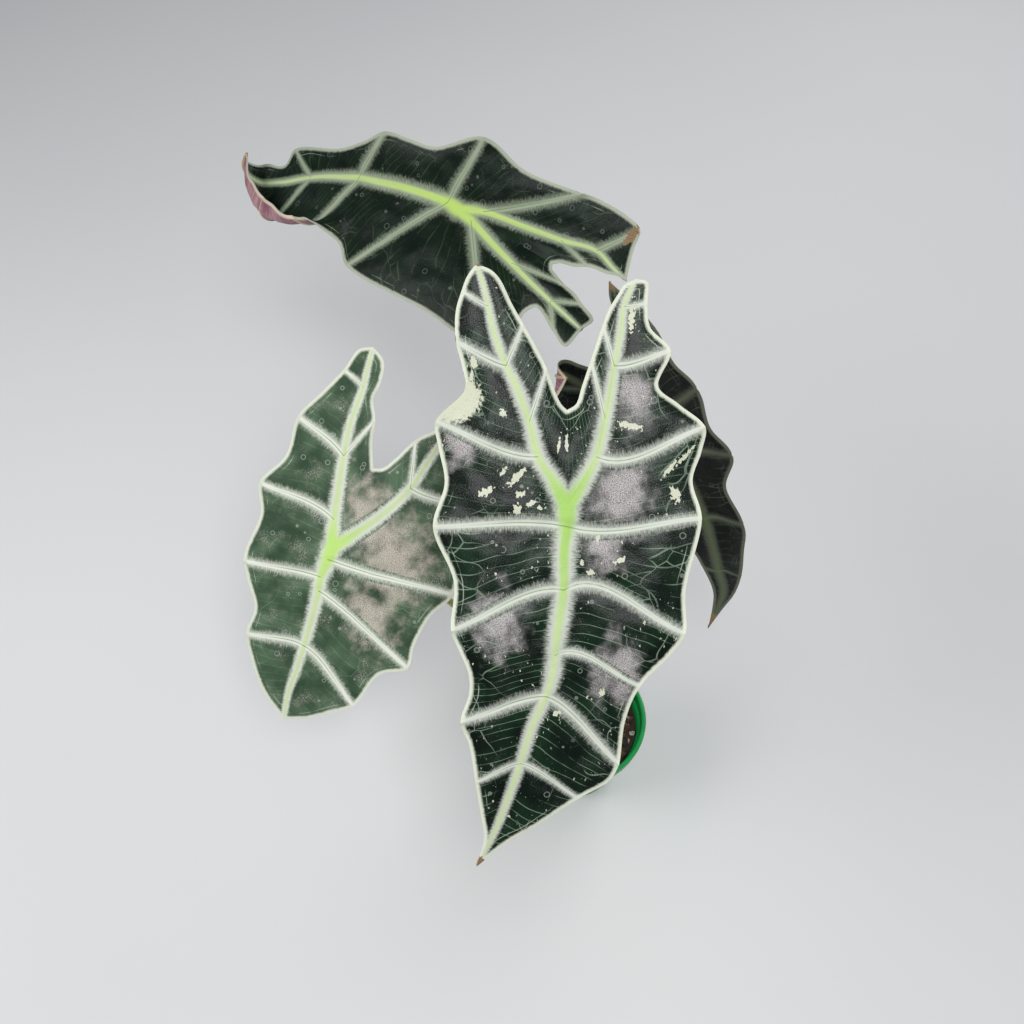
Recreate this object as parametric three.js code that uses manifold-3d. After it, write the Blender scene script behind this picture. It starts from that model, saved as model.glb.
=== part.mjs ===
// Potted polly alocasia, an aroid house plant, in its plastic nursery pot.
// Millimetres, +Z up, the origin at the centre of the pot's flat base, the viewer's side at -Y.
// Four arrow-shaped blades stand on leaf stalks that rise from one rootstock in a bark mix.

import * as THREE from 'three';
import { mergeVertices } from 'three/addons/utils/BufferGeometryUtils.js';
import Module from 'manifold-3d';

const wasm = await Module();
wasm.setup();

// Driving dimensions
const GAP = 0.3;
const POT_HEIGHT = 57;
const POT_RIM_RADIUS = 34;
const POT_BASE_RADIUS = 23;
const POT_WALL = 1.5;
const POT_FLOOR = 1.8;
const POT_SIDES = 40;
const RIM_BAND_HEIGHT = 9;
const RIM_BAND_STEP = 1.4;
const RIM_ROLL = 0.9;
const DRAIN_HOLES = 8;
const DRAIN_HOLE_RADIUS = 2.6;
const DRAIN_CIRCLE_RADIUS = 16.5;
const SOIL_TOP = 47;
const SOIL_HUMP = 2;
const BARK_CHUNKS = 28;
const CROWN_HEIGHT = 39;
const CROWN_RING_RADIUS = 4.9;
const ROOTSTOCK_RADIUS = 10;
const ROOTSTOCK_DEPTH = 24;
const ROOTS = 5;
const STALK_BASE_RADIUS = 3.1;
const STALK_TOP_RADIUS = 1.9;
const STALK_HOLE_RADIUS = 3.9;
const STALK_SIDES = 7;
const STALK_STEPS = 22;
const BLADE_THICKNESS = 0.8;
const MIDRIB_DEPTH = 3.2;
const LOBE_RIB_DEPTH = 2.6;
const SIDE_RIB_DEPTH = 1.7;
const RIB_SHARE = 0.16;
const FULL_SWELL_WIDTH = 30;

// Colours and surface finishes
const finish = (color, roughness) => new THREE.MeshStandardMaterial({ color, roughness, metalness: 0 });
const potPlastic = finish(0x0d8a43, 0.42);
const barkMix = finish(0x3a2a1e, 0.95);
const rootSkin = finish(0x8a6a48, 0.85);
const stalkGreen = finish(0x7f8f4a, 0.5);
const bladeGreen = finish(0x1d3325, 0.3);

// The blades
// A blade is laid out flat first: a runs along the midrib from the junction towards the tip,
// b runs across it. Three veins spread from the junction: the midrib and one for each lobe.
// A station of a vein is its own place, then the place on the margin that it reaches on each
// side and how strong the side vein there is (0 is none). On the midrib the two sides are
// b < 0 and b > 0, on a lobe they are the outer margin and the one that faces the other lobe.
const blades = [
  {
    name: 'front',
    junction: [-15, -6, 254],
    heading: -90,
    droop: 36,
    roll: 0,
    fold: [3, 3],
    bend: [0.002, 0.001],
    across: [0, 0.1, 0.4, 0.72, 1],
    quilt: 1.9,
    wave: 2.2,
    crown: -80,
    lean: [-10, 9],
    midrib: [
      [[0, 0], [-8, -42], 0, [-9, 43], 0],
      [[7, 0], [7, -46], 1, [4, 46], 1],
      [[17, -1], [26, -39], 0, [29, 41], 0],
      [[29, -1], [43, -40], 1, [44, 41], 1],
      [[43, -3], [51, -37], 0, [52, 36], 0],
      [[52, -4], [59, -34], 0, [63, 26], 0.6],
      [[60, -5], [66, -34], 0, [76, 21], 0],
      [[67, -7], [76, -37], 1, [92, 19], 1],
      [[78, -12], [85, -34], 0, [99, 16], 0],
      [[92, -16], [99, -32], 0.5, [106, 5], 0.5],
      [[107, -21], [113, -30], 0, [117, -10], 0],
      [[118, -25], [121, -29], 0, [123, -20], 0],
      [[133, -32], [133, -32], 0, [133, -32], 0],
    ],
    lowLobe: [
      [[0, 0], [-8, -42], 0, [-33, 0], 0],
      [[-9, -5], [-20, -44], 0, [-35, -2], 0],
      [[-17, -10], [-29, -45], 1, [-39, -4], 0],
      [[-29, -13], [-40, -35], 0, [-47, -7], 0.4],
      [[-42, -18], [-48, -36], 0, [-55, -11], 0],
      [[-48, -21], [-56, -38], 1, [-62, -15], 0.4],
      [[-59, -25], [-66, -38], 0, [-69, -19], 0],
      [[-68, -27], [-73, -36], 0.4, [-77, -23], 0],
      [[-76, -29], [-78, -34], 0, [-80, -26], 0],
      [[-82, -31], [-82, -31], 0, [-82, -31], 0],
    ],
    highLobe: [
      [[0, 0], [-9, 43], 0, [-33, 0], 0],
      [[-9, 6], [-19, 46], 0, [-35, 3], 0],
      [[-17, 10], [-27, 47], 1, [-41, 5], 0],
      [[-30, 13], [-35, 38], 0, [-50, 8], 0.4],
      [[-41, 15], [-41, 31], 0, [-56, 10], 0],
      [[-48, 16], [-53, 35], 1, [-62, 12], 0.4],
      [[-59, 18], [-61, 28], 0, [-67, 14], 0],
      [[-68, 19], [-69, 27], 0.4, [-72, 17], 0],
      [[-73, 21], [-76, 27], 0, [-75, 19], 0],
      [[-77, 23], [-77, 23], 0, [-77, 23], 0],
    ],
  },
  {
    name: 'left',
    junction: [-109, 22, 182],
    heading: -103,
    droop: 40,
    roll: -3,
    fold: [4, 4],
    bend: [0.002, 0.001],
    across: [0, 0.1, 0.4, 0.72, 1],
    quilt: 1.5,
    wave: 1.8,
    crown: -170,
    lean: [-66, 28],
    midrib: [
      [[0, 0], [-9, -32], 0, [-9, 53], 0],
      [[5, -1], [3, -35], 0, [9, 54], 1],
      [[9, -2], [7, -36], 0, [20, 46], 0],
      [[13, -3], [12, -36], 1, [34, 41], 0],
      [[19, -3], [21, -33], 0, [44, 40], 1],
      [[30, -4], [31, -29], 0, [50, 28], 0],
      [[44, -6], [43, -31], 1, [66, 19], 1],
      [[56, -8], [56, -27], 0, [72, 9], 0],
      [[65, -10], [68, -21], 0, [77, -1], 0],
      [[79, -11], [79, -11], 0, [79, -11], 0],
    ],
    lowLobe: [
      [[0, 0], [-9, -32], 0, [-36, 12], 0],
      [[-12, -1], [-22, -34], 1, [-41, 11], 0],
      [[-26, -1], [-35, -25], 0, [-48, 10], 0],
      [[-39, -1], [-52, -22], 1, [-56, 10], 0.4],
      [[-53, 0], [-63, -14], 0, [-64, 8], 0],
      [[-68, 3], [-74, -6], 0.4, [-71, 10], 0],
      [[-78, 4], [-83, -1], 0, [-80, 10], 0],
      [[-85, 5], [-85, 5], 0, [-85, 5], 0],
    ],
    highLobe: [
      [[0, 0], [-9, 53], 0, [-36, 12], 0],
      [[-8, 9], [-16, 53], 0, [-37, 16], 0],
      [[-19, 20], [-21, 51], 0, [-41, 20], 0],
      [[-31, 29], [-28, 50], 1, [-51, 28], 0.4],
      [[-44, 35], [-40, 53], 0, [-56, 35], 0],
      [[-54, 40], [-51, 53], 0.4, [-60, 41], 0],
      [[-64, 46], [-64, 46], 0, [-64, 46], 0],
    ],
  },
  {
    name: 'back',
    junction: [-56, 139, 261],
    heading: 152,
    droop: 6,
    roll: -33,
    fold: [30, 5],
    bend: [0.003, 0.002],
    across: [0, 0.1, 0.4, 0.62, 0.75, 0.88, 1],
    quilt: 1.6,
    wave: 1.8,
    crown: 100,
    lean: [-36, 105],
    curls: [{ middle: [85, -22], from: 42, after: 46, radius: 5, most: 165 }],
    midrib: [
      [[0, 0], [-27, -22], 0, [-3, 45], 0],
      [[6, -2], [-8, -31], 1, [42, 36], 1],
      [[29, -4], [15, -23], 0, [53, 26], 0],
      [[42, -4], [28, -24], 0, [63, 27], 0],
      [[54, -4], [40, -25], 1, [73, 31], 1],
      [[63, -3], [51, -20], 0, [80, 34], 0],
      [[72, -2], [66, -15], 0, [88, 37], 0],
      [[84, 0], [96, -12], 0.7, [101, 36], 0.7],
      [[100, 4], [105, -4], 0, [117, 31], 0],
      [[116, 6], [119, -4], 0, [128, 20], 0],
      [[127, 6], [130, -1], 0, [135, 12], 0],
      [[139, 6], [139, 6], 0, [139, 6], 0],
    ],
    lowLobe: [
      [[0, 0], [-27, -22], 0, [-49, 12], 0],
      [[-11, -2], [-56, -18], 1, [-52, 11], 0],
      [[-30, 0], [-66, -16], 0, [-59, 11], 0],
      [[-49, 2], [-75, -13], 0, [-65, 10], 0.4],
      [[-66, 3], [-82, -9], 1, [-74, 11], 0],
      [[-75, 8], [-81, -1], 0, [-78, 11], 0],
      [[-83, 12], [-83, 12], 0, [-83, 12], 0],
    ],
    highLobe: [
      [[0, 0], [-3, 45], 0, [-49, 12], 0],
      [[-7, 3], [-34, 52], 1, [-50, 14], 0],
      [[-20, 10], [-44, 43], 0, [-53, 16], 0],
      [[-32, 16], [-46, 34], 0, [-58, 19], 0.4],
      [[-42, 21], [-50, 31], 0, [-63, 21], 0],
      [[-55, 27], [-62, 39], 0.5, [-69, 25], 0.4],
      [[-64, 31], [-69, 43], 0, [-76, 30], 0],
      [[-73, 35], [-73, 35], 0, [-73, 35], 0],
    ],
  },
  {
    name: 'right',
    junction: [26, 62, 206],
    heading: -47,
    droop: 52,
    roll: 62,
    fold: [12, 22],
    bend: [0.003, 0.002],
    across: [0, 0.12, 0.45, 0.72, 0.86, 1],
    quilt: 1.4,
    wave: 1.8,
    crown: 10,
    lean: [29, 67],
    curls: [{ middle: [200, 346], from: 439, after: -200, radius: 4, most: 150 }],
    midrib: [
      [[0, 0], [-8, -31], 0, [-3, 31], 0],
      [[9, 4], [2, -35], 1, [8, 38], 1],
      [[26, 7], [20, -29], 0, [26, 26], 0],
      [[45, 6], [38, -26], 1, [45, 27], 1],
      [[64, 2], [60, -9], 0, [64, 18], 0],
      [[79, -2], [74, -8], 0.4, [83, 8], 0.4],
      [[92, -5], [91, -10], 0, [97, -2], 0],
      [[104, -13], [102, -15], 0, [106, -12], 0],
      [[117, -24], [117, -24], 0, [117, -24], 0],
    ],
    lowLobe: [
      [[0, 0], [-8, -31], 0, [-30, -2], 0],
      [[-10, -5], [-22, -36], 1, [-33, -5], 0],
      [[-20, -11], [-31, -34], 0, [-36, -10], 0],
      [[-29, -17], [-38, -35], 0.5, [-41, -16], 0],
      [[-39, -24], [-45, -34], 0, [-48, -23], 0],
      [[-51, -32], [-51, -32], 0, [-51, -32], 0],
    ],
    highLobe: [
      [[0, 0], [-3, 31], 0, [-30, -2], 0],
      [[-10, 8], [-23, 34], 1, [-36, 3], 0],
      [[-26, 12], [-34, 27], 0, [-46, 6], 0],
      [[-42, 13], [-50, 26], 0.5, [-56, 8], 0],
      [[-58, 14], [-63, 20], 0, [-66, 10], 0],
      [[-73, 14], [-73, 14], 0, [-73, 14], 0],
    ],
  },
];

const rad = THREE.MathUtils.degToRad;
const lerp = THREE.MathUtils.lerp;

// A smooth line through flat places, read at a place number and a share of the way to the next
function smoothLine(places) {
  const curve = new THREE.CatmullRomCurve3(places.map(([a, b]) => new THREE.Vector3(a, b, 0)), false);
  return (index, share) => curve.getPoint((index + share) / (places.length - 1));
}

// The directions of a blade: along its midrib, across it and out of its upper face
function bladeAxes({ heading, droop, roll }) {
  const level = new THREE.Vector3(Math.cos(rad(heading)), Math.sin(rad(heading)), 0);
  const along = level.clone().multiplyScalar(Math.cos(rad(droop)));
  along.z = -Math.sin(rad(droop));
  const flatAcross = new THREE.Vector3(-level.y, level.x, 0);
  const flatUp = along.clone().cross(flatAcross);
  const across = flatAcross.clone().applyAxisAngle(along, rad(roll));
  const up = flatUp.clone().applyAxisAngle(along, rad(roll));
  return { along, across, up };
}

// Where a flat place of the blade lies in space: rolled edge, folded halves, arched midrib.
// An edge rolls along an arc round a middle, and the roll grows over CURL_ONSET along the blade.
const FOLD_ROUNDING = 6;
const CURL_ONSET = 20;
function bladePlace(blade, a, b) {
  let x = a;
  let y = b;
  let z = 0;
  for (const curl of blade.curls ?? []) {
    const [middleA, middleB] = curl.middle;
    const fromMiddle = Math.hypot(a - middleA, b - middleB);
    const c = (a - middleA) / fromMiddle;
    const s = (b - middleB) / fromMiddle;
    const onset = THREE.MathUtils.smoothstep(a, curl.after, curl.after + CURL_ONSET);
    const past = Math.max(0, fromMiddle - curl.from) * onset;
    const turn = Math.min(past / curl.radius, rad(curl.most));
    const rest = past - turn * curl.radius;
    const reach = curl.radius * Math.sin(turn) + rest * Math.cos(turn);
    x += (reach - past) * c;
    y += (reach - past) * s;
    z += curl.radius * (1 - Math.cos(turn)) + rest * Math.sin(turn);
  }
  const fold = rad(y > 0 ? blade.fold[1] : blade.fold[0]);
  z += (Math.hypot(y, FOLD_ROUNDING) - FOLD_ROUNDING) * Math.tan(fold);
  y *= Math.cos(fold);
  const arch = x > 0 ? blade.bend[0] : -blade.bend[1];
  const radius = 1 / arch + z;
  const place = new THREE.Vector3(...blade.junction);
  place.addScaledVector(blade.axes.along, Math.sin(arch * x) * radius);
  place.addScaledVector(blade.axes.across, y);
  place.addScaledVector(blade.axes.up, Math.cos(arch * x) * radius - 1 / arch);
  return place;
}

function bladeNormal(blade, a, b) {
  const step = 0.5;
  const alongA = bladePlace(blade, a + step, b).sub(bladePlace(blade, a - step, b));
  const alongB = bladePlace(blade, a, b + step).sub(bladePlace(blade, a, b - step));
  return alongA.cross(alongB).normalize();
}

// The strips between a vein and one margin, from station to station.
// A strip is on the left of its vein or on the right, seen from above along the vein.
function bladeStrips(blade) {
  const sinus = blade.lowLobe[0][3];
  const rows = (vein, side) => vein.map((station) => ({
    root: station[0],
    edge: side ? station[3] : station[1],
    vein: side ? station[4] : station[2],
  }));
  const outerEdge = (lobe, side) => {
    const midribEdge = blade.midrib.slice(1).map((station) => station[side ? 3 : 1]);
    return [...lobe.map((station) => station[1]).reverse(), ...midribEdge];
  };
  const strips = [];
  [blade.lowLobe, blade.highLobe].forEach((lobe, side) => {
    const outer = smoothLine(outerEdge(lobe, side));
    const inner = smoothLine([sinus, ...lobe.slice(1).map((station) => station[3])]);
    const last = lobe.length - 1;
    const midribEdge = (k, s) => outer(last + k, s);
    const lobeEdge = (k, s) => outer(last - k - 1, 1 - s);
    const high = side === 1;
    strips.push({ spine: blade.midrib, rows: rows(blade.midrib, side), edge: midribEdge, left: high });
    strips.push({ spine: lobe, rows: rows(lobe, 0), edge: lobeEdge, left: !high });
    strips.push({ spine: lobe, rows: rows(lobe, 1), edge: inner, left: high });
  });
  return strips;
}

// Steps along a stretch of vein: close to a side vein there is a narrow one for its rib
function stretchSteps(here, next) {
  const strong = (station) => Math.max(station[2], station[4]) > 0.3;
  const steps = [0];
  if (strong(here)) steps.push(RIB_SHARE);
  if (!strong(here) && !strong(next)) steps.push(0.5);
  if (strong(next)) steps.push(1 - RIB_SHARE);
  steps.push(1);
  return steps;
}

// Upper face and thickness of a blade at share s of a stretch and share t of the way out.
// Where the blade is narrow its swell and its waved margin are low too.
function bladeRelief(blade, here, next, s, t, depthAtRoot, width) {
  const sunk = here.vein * (1 - s) ** 3 + next.vein * s ** 3;
  const domed = 1 - sunk;
  const quilting = blade.quilt * domed * (1 - (1 - t) ** 3) * (1 - t ** 4);
  const waving = blade.wave * (0.5 - domed) * t ** 3;
  const height = (quilting + waving) * Math.min(1, width / FULL_SWELL_WIDTH);
  let thickness = BLADE_THICKNESS;
  if (t === 0) thickness = depthAtRoot;
  const ribbed = (s === 0 ? here.vein : 0) + (s === 1 ? next.vein : 0);
  if (t > 0 && t < 1) thickness += ribbed * (SIDE_RIB_DEPTH - BLADE_THICKNESS) * (1 - 0.6 * t);
  return { height, thickness };
}

function bladeGeometry(blade) {
  const upper = [];
  const lower = [];
  const known = new Map();
  const faces = [];
  const vertex = (flat, height, thickness) => {
    const key = `${Math.round(flat.x * 1000)} ${Math.round(flat.y * 1000)}`;
    if (!known.has(key)) {
      const normal = bladeNormal(blade, flat.x, flat.y);
      const place = bladePlace(blade, flat.x, flat.y);
      known.set(key, upper.length);
      upper.push(place.clone().addScaledVector(normal, height));
      lower.push(place.clone().addScaledVector(normal, height - thickness));
    }
    return known.get(key);
  };
  for (const strip of bladeStrips(blade)) {
    const spine = smoothLine(strip.spine.map((station) => station[0]));
    const last = strip.rows.length - 1;
    for (let k = 0; k < last; k += 1) {
      const steps = stretchSteps(strip.spine[k], strip.spine[k + 1]);
      const columns = steps.map((s) => {
        const taper = 1 - (k + s) / last;
        const full = strip.spine === blade.midrib ? MIDRIB_DEPTH : LOBE_RIB_DEPTH;
        const depth = lerp(BLADE_THICKNESS, full, taper);
        const root = spine(k, s);
        const edge = strip.edge(k, s);
        return blade.across.map((t) => {
          const flat = root.clone().lerp(edge, t);
          const atJunction = k === 0 && s === 0 && t === 0;
          const width = root.distanceTo(edge);
          const relief = bladeRelief(blade, strip.rows[k], strip.rows[k + 1], s, t, depth, width);
          return vertex(flat, relief.height, atJunction ? MIDRIB_DEPTH : relief.thickness);
        });
      });
      for (let i = 0; i + 1 < columns.length; i += 1) {
        for (let j = 0; j + 1 < blade.across.length; j += 1) {
          const [p, q, r, o] = [columns[i][j], columns[i + 1][j], columns[i + 1][j + 1], columns[i][j + 1]];
          if (strip.left) faces.push([p, q, r], [p, r, o]);
          else faces.push([p, r, q], [p, o, r]);
        }
      }
    }
  }
  return closeSheet(upper, lower, faces);
}

// Two faces of a thin sheet, triangles alike, and the rim that joins them
function closeSheet(upper, lower, faces) {
  const whole = faces.filter(([p, q, r]) => p !== q && q !== r && r !== p);
  const edges = new Set();
  for (const [p, q, r] of whole) {
    edges.add(`${p} ${q}`).add(`${q} ${r}`).add(`${r} ${p}`);
  }
  const count = upper.length;
  const index = [];
  for (const [p, q, r] of whole) {
    index.push(p, q, r, p + count, r + count, q + count);
  }
  for (const edge of edges) {
    const [p, q] = edge.split(' ').map(Number);
    if (!edges.has(`${q} ${p}`)) index.push(q, p, p + count, q, p + count, q + count);
  }
  const geometry = new THREE.BufferGeometry();
  geometry.setFromPoints([...upper, ...lower]);
  geometry.setIndex(index);
  return geometry;
}

// A tapering stalk along a smooth line, closed at both ends
function stalkGeometry(points, radiusAt, sides, steps) {
  const curve = new THREE.CatmullRomCurve3(points);
  const frames = curve.computeFrenetFrames(steps, false);
  const ring = [];
  for (let i = 0; i <= steps; i += 1) {
    const centre = curve.getPointAt(i / steps);
    for (let j = 0; j < sides; j += 1) {
      const turn = (2 * Math.PI * j) / sides;
      const radius = radiusAt(i / steps);
      const place = centre.clone();
      place.addScaledVector(frames.normals[i], radius * Math.cos(turn));
      place.addScaledVector(frames.binormals[i], radius * Math.sin(turn));
      ring.push(place);
    }
  }
  const index = [];
  for (let i = 0; i < steps; i += 1) {
    for (let j = 0; j < sides; j += 1) {
      const a = i * sides + j;
      const b = i * sides + ((j + 1) % sides);
      index.push(a, b, b + sides, a, b + sides, a + sides);
    }
  }
  const start = ring.push(points[0].clone()) - 1;
  const end = ring.push(points[points.length - 1].clone()) - 1;
  for (let j = 0; j < sides; j += 1) {
    const k = (j + 1) % sides;
    index.push(start, k, j, end, steps * sides + j, steps * sides + k);
  }
  const geometry = new THREE.BufferGeometry();
  geometry.setFromPoints(ring);
  geometry.setIndex(index);
  return geometry;
}

// Solids to cut and join
function solidOf(geometry) {
  const bare = geometry.clone();
  bare.deleteAttribute('normal');
  bare.deleteAttribute('uv');
  const merged = mergeVertices(bare, 1e-4);
  const vertProperties = new Float32Array(merged.attributes.position.array);
  const triVerts = new Uint32Array(merged.index.array);
  return new wasm.Manifold(new wasm.Mesh({ numProp: 3, vertProperties, triVerts }));
}

function geometryOf(solid) {
  const mesh = solid.getMesh();
  const geometry = new THREE.BufferGeometry();
  geometry.setAttribute('position', new THREE.BufferAttribute(new Float32Array(mesh.vertProperties), 3));
  geometry.setIndex(new THREE.BufferAttribute(new Uint32Array(mesh.triVerts), 1));
  return geometry;
}

// The main body of a solid, without the crumbs that cutting leaves loose
function largestBody(solid) {
  const bodies = solid.decompose();
  return bodies.reduce((best, body) => (body.volume() > best.volume() ? body : best));
}

// A lathe around the upright axis, from points given as [radius, height]
function turned(profile, sides) {
  const lathe = new THREE.LatheGeometry(profile.map(([r, z]) => new THREE.Vector2(r, z)), sides);
  return lathe.rotateX(Math.PI / 2);
}

function uprightRod(radius, low, high, x, y, sides = 12) {
  const rod = new THREE.CylinderGeometry(radius, radius, high - low, sides);
  return rod.rotateX(Math.PI / 2).translate(x, y, (low + high) / 2);
}

// A repeatable draw of numbers between 0 and 1
function drawFrom(seed) {
  let state = seed;
  return () => {
    state = (state * 1103515245 + 12345) % 2147483648;
    return state / 2147483648;
  };
}

// The pot: a tapering wall, a stepped rim band and a flat floor with drainage holes
const bandLow = POT_HEIGHT - RIM_BAND_HEIGHT;
const wallTopRadius = POT_RIM_RADIUS - RIM_ROLL - RIM_BAND_STEP;
const insideRadius = (z) => lerp(POT_BASE_RADIUS, wallTopRadius, z / bandLow) - POT_WALL;

function potGeometry() {
  const bandOuter = POT_RIM_RADIUS - RIM_ROLL;
  const bandInner = bandOuter - POT_WALL;
  const profile = [
    [0, 0],
    [POT_BASE_RADIUS - 2, 0],
    [POT_BASE_RADIUS, 2],
    [wallTopRadius, bandLow],
    [bandOuter, bandLow + 0.6],
    [bandOuter, POT_HEIGHT - 2.4],
    [POT_RIM_RADIUS, POT_HEIGHT - 1.8],
    [POT_RIM_RADIUS, POT_HEIGHT - 0.5],
    [POT_RIM_RADIUS - 0.6, POT_HEIGHT],
    [bandInner + 0.4, POT_HEIGHT],
    [bandInner, POT_HEIGHT - 0.5],
    [bandInner, bandLow + 2.2],
    [insideRadius(bandLow), bandLow + 1.4],
    [insideRadius(POT_FLOOR), POT_FLOOR],
    [0, POT_FLOOR],
  ];
  let pot = solidOf(turned(profile, POT_SIDES));
  for (let i = 0; i < DRAIN_HOLES; i += 1) {
    const turn = (2 * Math.PI * i) / DRAIN_HOLES;
    const x = DRAIN_CIRCLE_RADIUS * Math.cos(turn);
    const y = DRAIN_CIRCLE_RADIUS * Math.sin(turn);
    pot = pot.subtract(solidOf(uprightRod(DRAIN_HOLE_RADIUS, -1, POT_FLOOR + 1, x, y)));
  }
  return geometryOf(pot);
}

// The rootstock: a ringed tuber with fleshy roots that spread and run down.
// The same form, a gap larger all round, is the hollow that it fills in the mix.
function rootstockSolid(grow) {
  const top = CROWN_HEIGHT + grow;
  const rings = [0.35, 0.72, 0.8, 0.97, 0.94, 1, 0.9, 0.7, 0.42];
  const profile = rings.map((share, i) => {
    const height = top - grow * 2 * (i / (rings.length - 1)) - (ROOTSTOCK_DEPTH * i) / (rings.length - 1);
    return [share * ROOTSTOCK_RADIUS + grow, height];
  });
  const low = profile[profile.length - 1][1];
  let solid = solidOf(turned([[0, low], ...profile.reverse(), [0, top]], 12));
  for (let i = 0; i < ROOTS; i += 1) {
    const turn = (2 * Math.PI * (i + 0.3)) / ROOTS;
    const out = (r, z) => new THREE.Vector3(r * Math.cos(turn), r * Math.sin(turn), z);
    const start = CROWN_HEIGHT - 14 - 2 * (i % 3);
    const end = 6 + 2 * (i % 2) - grow;
    const points = [out(5, start), out(12, start - 2), out(19, start - 9), out(20, end + 4), out(19, end)];
    const root = stalkGeometry(points, (share) => lerp(1.7, 0.9, share) + grow, 6, 6);
    solid = solid.add(solidOf(root));
  }
  return solid;
}

// The crown: where each stalk stands on the rootstock
function crownPlace(blade) {
  const turn = rad(blade.crown);
  return [CROWN_RING_RADIUS * Math.cos(turn), CROWN_RING_RADIUS * Math.sin(turn)];
}

// The mix: a filled cone with bark chips on top, the rootstock's hollow and a hole for each stalk
function soilGeometry() {
  const low = POT_FLOOR + GAP;
  const inside = (z) => insideRadius(z) - GAP;
  const hump = (r) => SOIL_TOP + SOIL_HUMP * Math.cos((Math.PI * r) / (2 * inside(SOIL_TOP)));
  const profile = [
    [0, low],
    [inside(low), low],
    [inside(SOIL_TOP), SOIL_TOP],
    [26, hump(26)],
    [15, hump(15)],
    [0, hump(0)],
  ];
  let soil = solidOf(turned(profile, POT_SIDES));
  const draw = drawFrom(11);
  for (let i = 0; i < BARK_CHUNKS; i += 1) {
    const turn = i * rad(137.5);
    const size = 2.6 + 2.2 * draw();
    const r = (inside(SOIL_TOP) - size - 1) * Math.sqrt((i + 0.5) / BARK_CHUNKS);
    const chip = new THREE.IcosahedronGeometry(size, 0);
    chip.scale(1, 0.72, 0.5);
    chip.rotateX(draw() - 0.5).rotateY(draw() - 0.5).rotateZ(6.28 * draw());
    chip.translate(r * Math.cos(turn), r * Math.sin(turn), hump(r) + 0.3 * size * draw());
    soil = soil.add(solidOf(chip));
  }
  soil = soil.subtract(rootstockSolid(GAP));
  for (const blade of blades) {
    const [x, y] = crownPlace(blade);
    const hole = uprightRod(STALK_HOLE_RADIUS, CROWN_HEIGHT - 2, SOIL_TOP + 12, x, y);
    soil = soil.subtract(solidOf(hole));
  }
  return geometryOf(largestBody(soil));
}

// A leaf stalk: upright out of the crown, then over to the underside of its blade
const STRAIGHT_RISE = 16;
function leafStalkGeometry(blade) {
  const [x, y] = crownPlace(blade);
  const low = CROWN_HEIGHT + GAP;
  const [jx, jy, jz] = blade.junction;
  const end = new THREE.Vector3(jx, jy, jz).addScaledVector(blade.axes.up, -(MIDRIB_DEPTH + GAP));
  const neck = end.clone().addScaledVector(blade.axes.up, -3);
  const before = end.clone();
  before.addScaledVector(blade.axes.up, -16).addScaledVector(blade.axes.along, -5);
  const [leanX, leanY] = blade.lean;
  const points = [
    new THREE.Vector3(x, y, low),
    new THREE.Vector3(x, y, low + STRAIGHT_RISE),
    new THREE.Vector3(x + (leanX - x) * 0.25, y + (leanY - y) * 0.25, lerp(low, before.z, 0.36)),
    new THREE.Vector3(leanX, leanY, lerp(low, before.z, 0.7)),
    before,
    neck,
    end,
  ];
  const radiusAt = (share) => {
    const sheath = 1 - THREE.MathUtils.smoothstep(share, 0.05, 0.4);
    return lerp(STALK_TOP_RADIUS, STALK_BASE_RADIUS, sheath);
  };
  return stalkGeometry(points, radiusAt, STALK_SIDES, STALK_STEPS);
}

// The plant in its pot
const plant = new THREE.Group();
function addPiece(name, geometry, material) {
  const mesh = new THREE.Mesh(geometry, material);
  mesh.name = name;
  plant.add(mesh);
}

for (const blade of blades) {
  blade.axes = bladeAxes(blade);
}
addPiece('pot', potGeometry(), potPlastic);
addPiece('soil', soilGeometry(), barkMix);
addPiece('rootstock', geometryOf(rootstockSolid(0)), rootSkin);
for (const blade of blades) {
  addPiece(`stalk_${blade.name}`, leafStalkGeometry(blade), stalkGreen);
  addPiece(`blade_${blade.name}`, bladeGeometry(blade), bladeGreen);
}

export default plant;
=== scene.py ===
# %% [markdown]
# # A potted polly alocasia
# Four arrow-shaped leaves stand on slender stalks in a small nursery pot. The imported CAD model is
# the frame: it gives every piece its place, in metres, and the pieces made here take over from its
# nodes. Only the loose chips and grains on the mix are extra.

# %% Load the frame
import math
from collections import namedtuple

import bpy
import numpy as np
from mathutils import Matrix, Vector, noise


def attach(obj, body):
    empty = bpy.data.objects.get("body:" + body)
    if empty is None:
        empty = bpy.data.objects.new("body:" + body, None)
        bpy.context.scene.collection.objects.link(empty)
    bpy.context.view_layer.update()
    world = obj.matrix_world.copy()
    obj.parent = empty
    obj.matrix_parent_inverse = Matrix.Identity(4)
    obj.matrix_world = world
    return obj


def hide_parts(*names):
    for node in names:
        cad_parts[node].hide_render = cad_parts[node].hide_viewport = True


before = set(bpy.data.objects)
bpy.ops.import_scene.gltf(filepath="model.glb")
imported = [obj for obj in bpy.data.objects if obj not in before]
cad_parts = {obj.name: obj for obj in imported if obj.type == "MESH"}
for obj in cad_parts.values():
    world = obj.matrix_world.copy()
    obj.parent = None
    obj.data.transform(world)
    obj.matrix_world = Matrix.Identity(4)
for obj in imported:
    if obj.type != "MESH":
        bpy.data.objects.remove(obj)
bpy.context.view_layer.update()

MM = 0.001
bpy.ops.object.select_all(action="DESELECT")
print("the frame has", len(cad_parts), "nodes")

# %% [markdown]
# ## The camera
# The plant is looked at from the front and from well above, with a lens about as wide as that of
# a phone. A Blender camera looks down its own -Z, so a turn about X alone sets how steeply.

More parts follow.
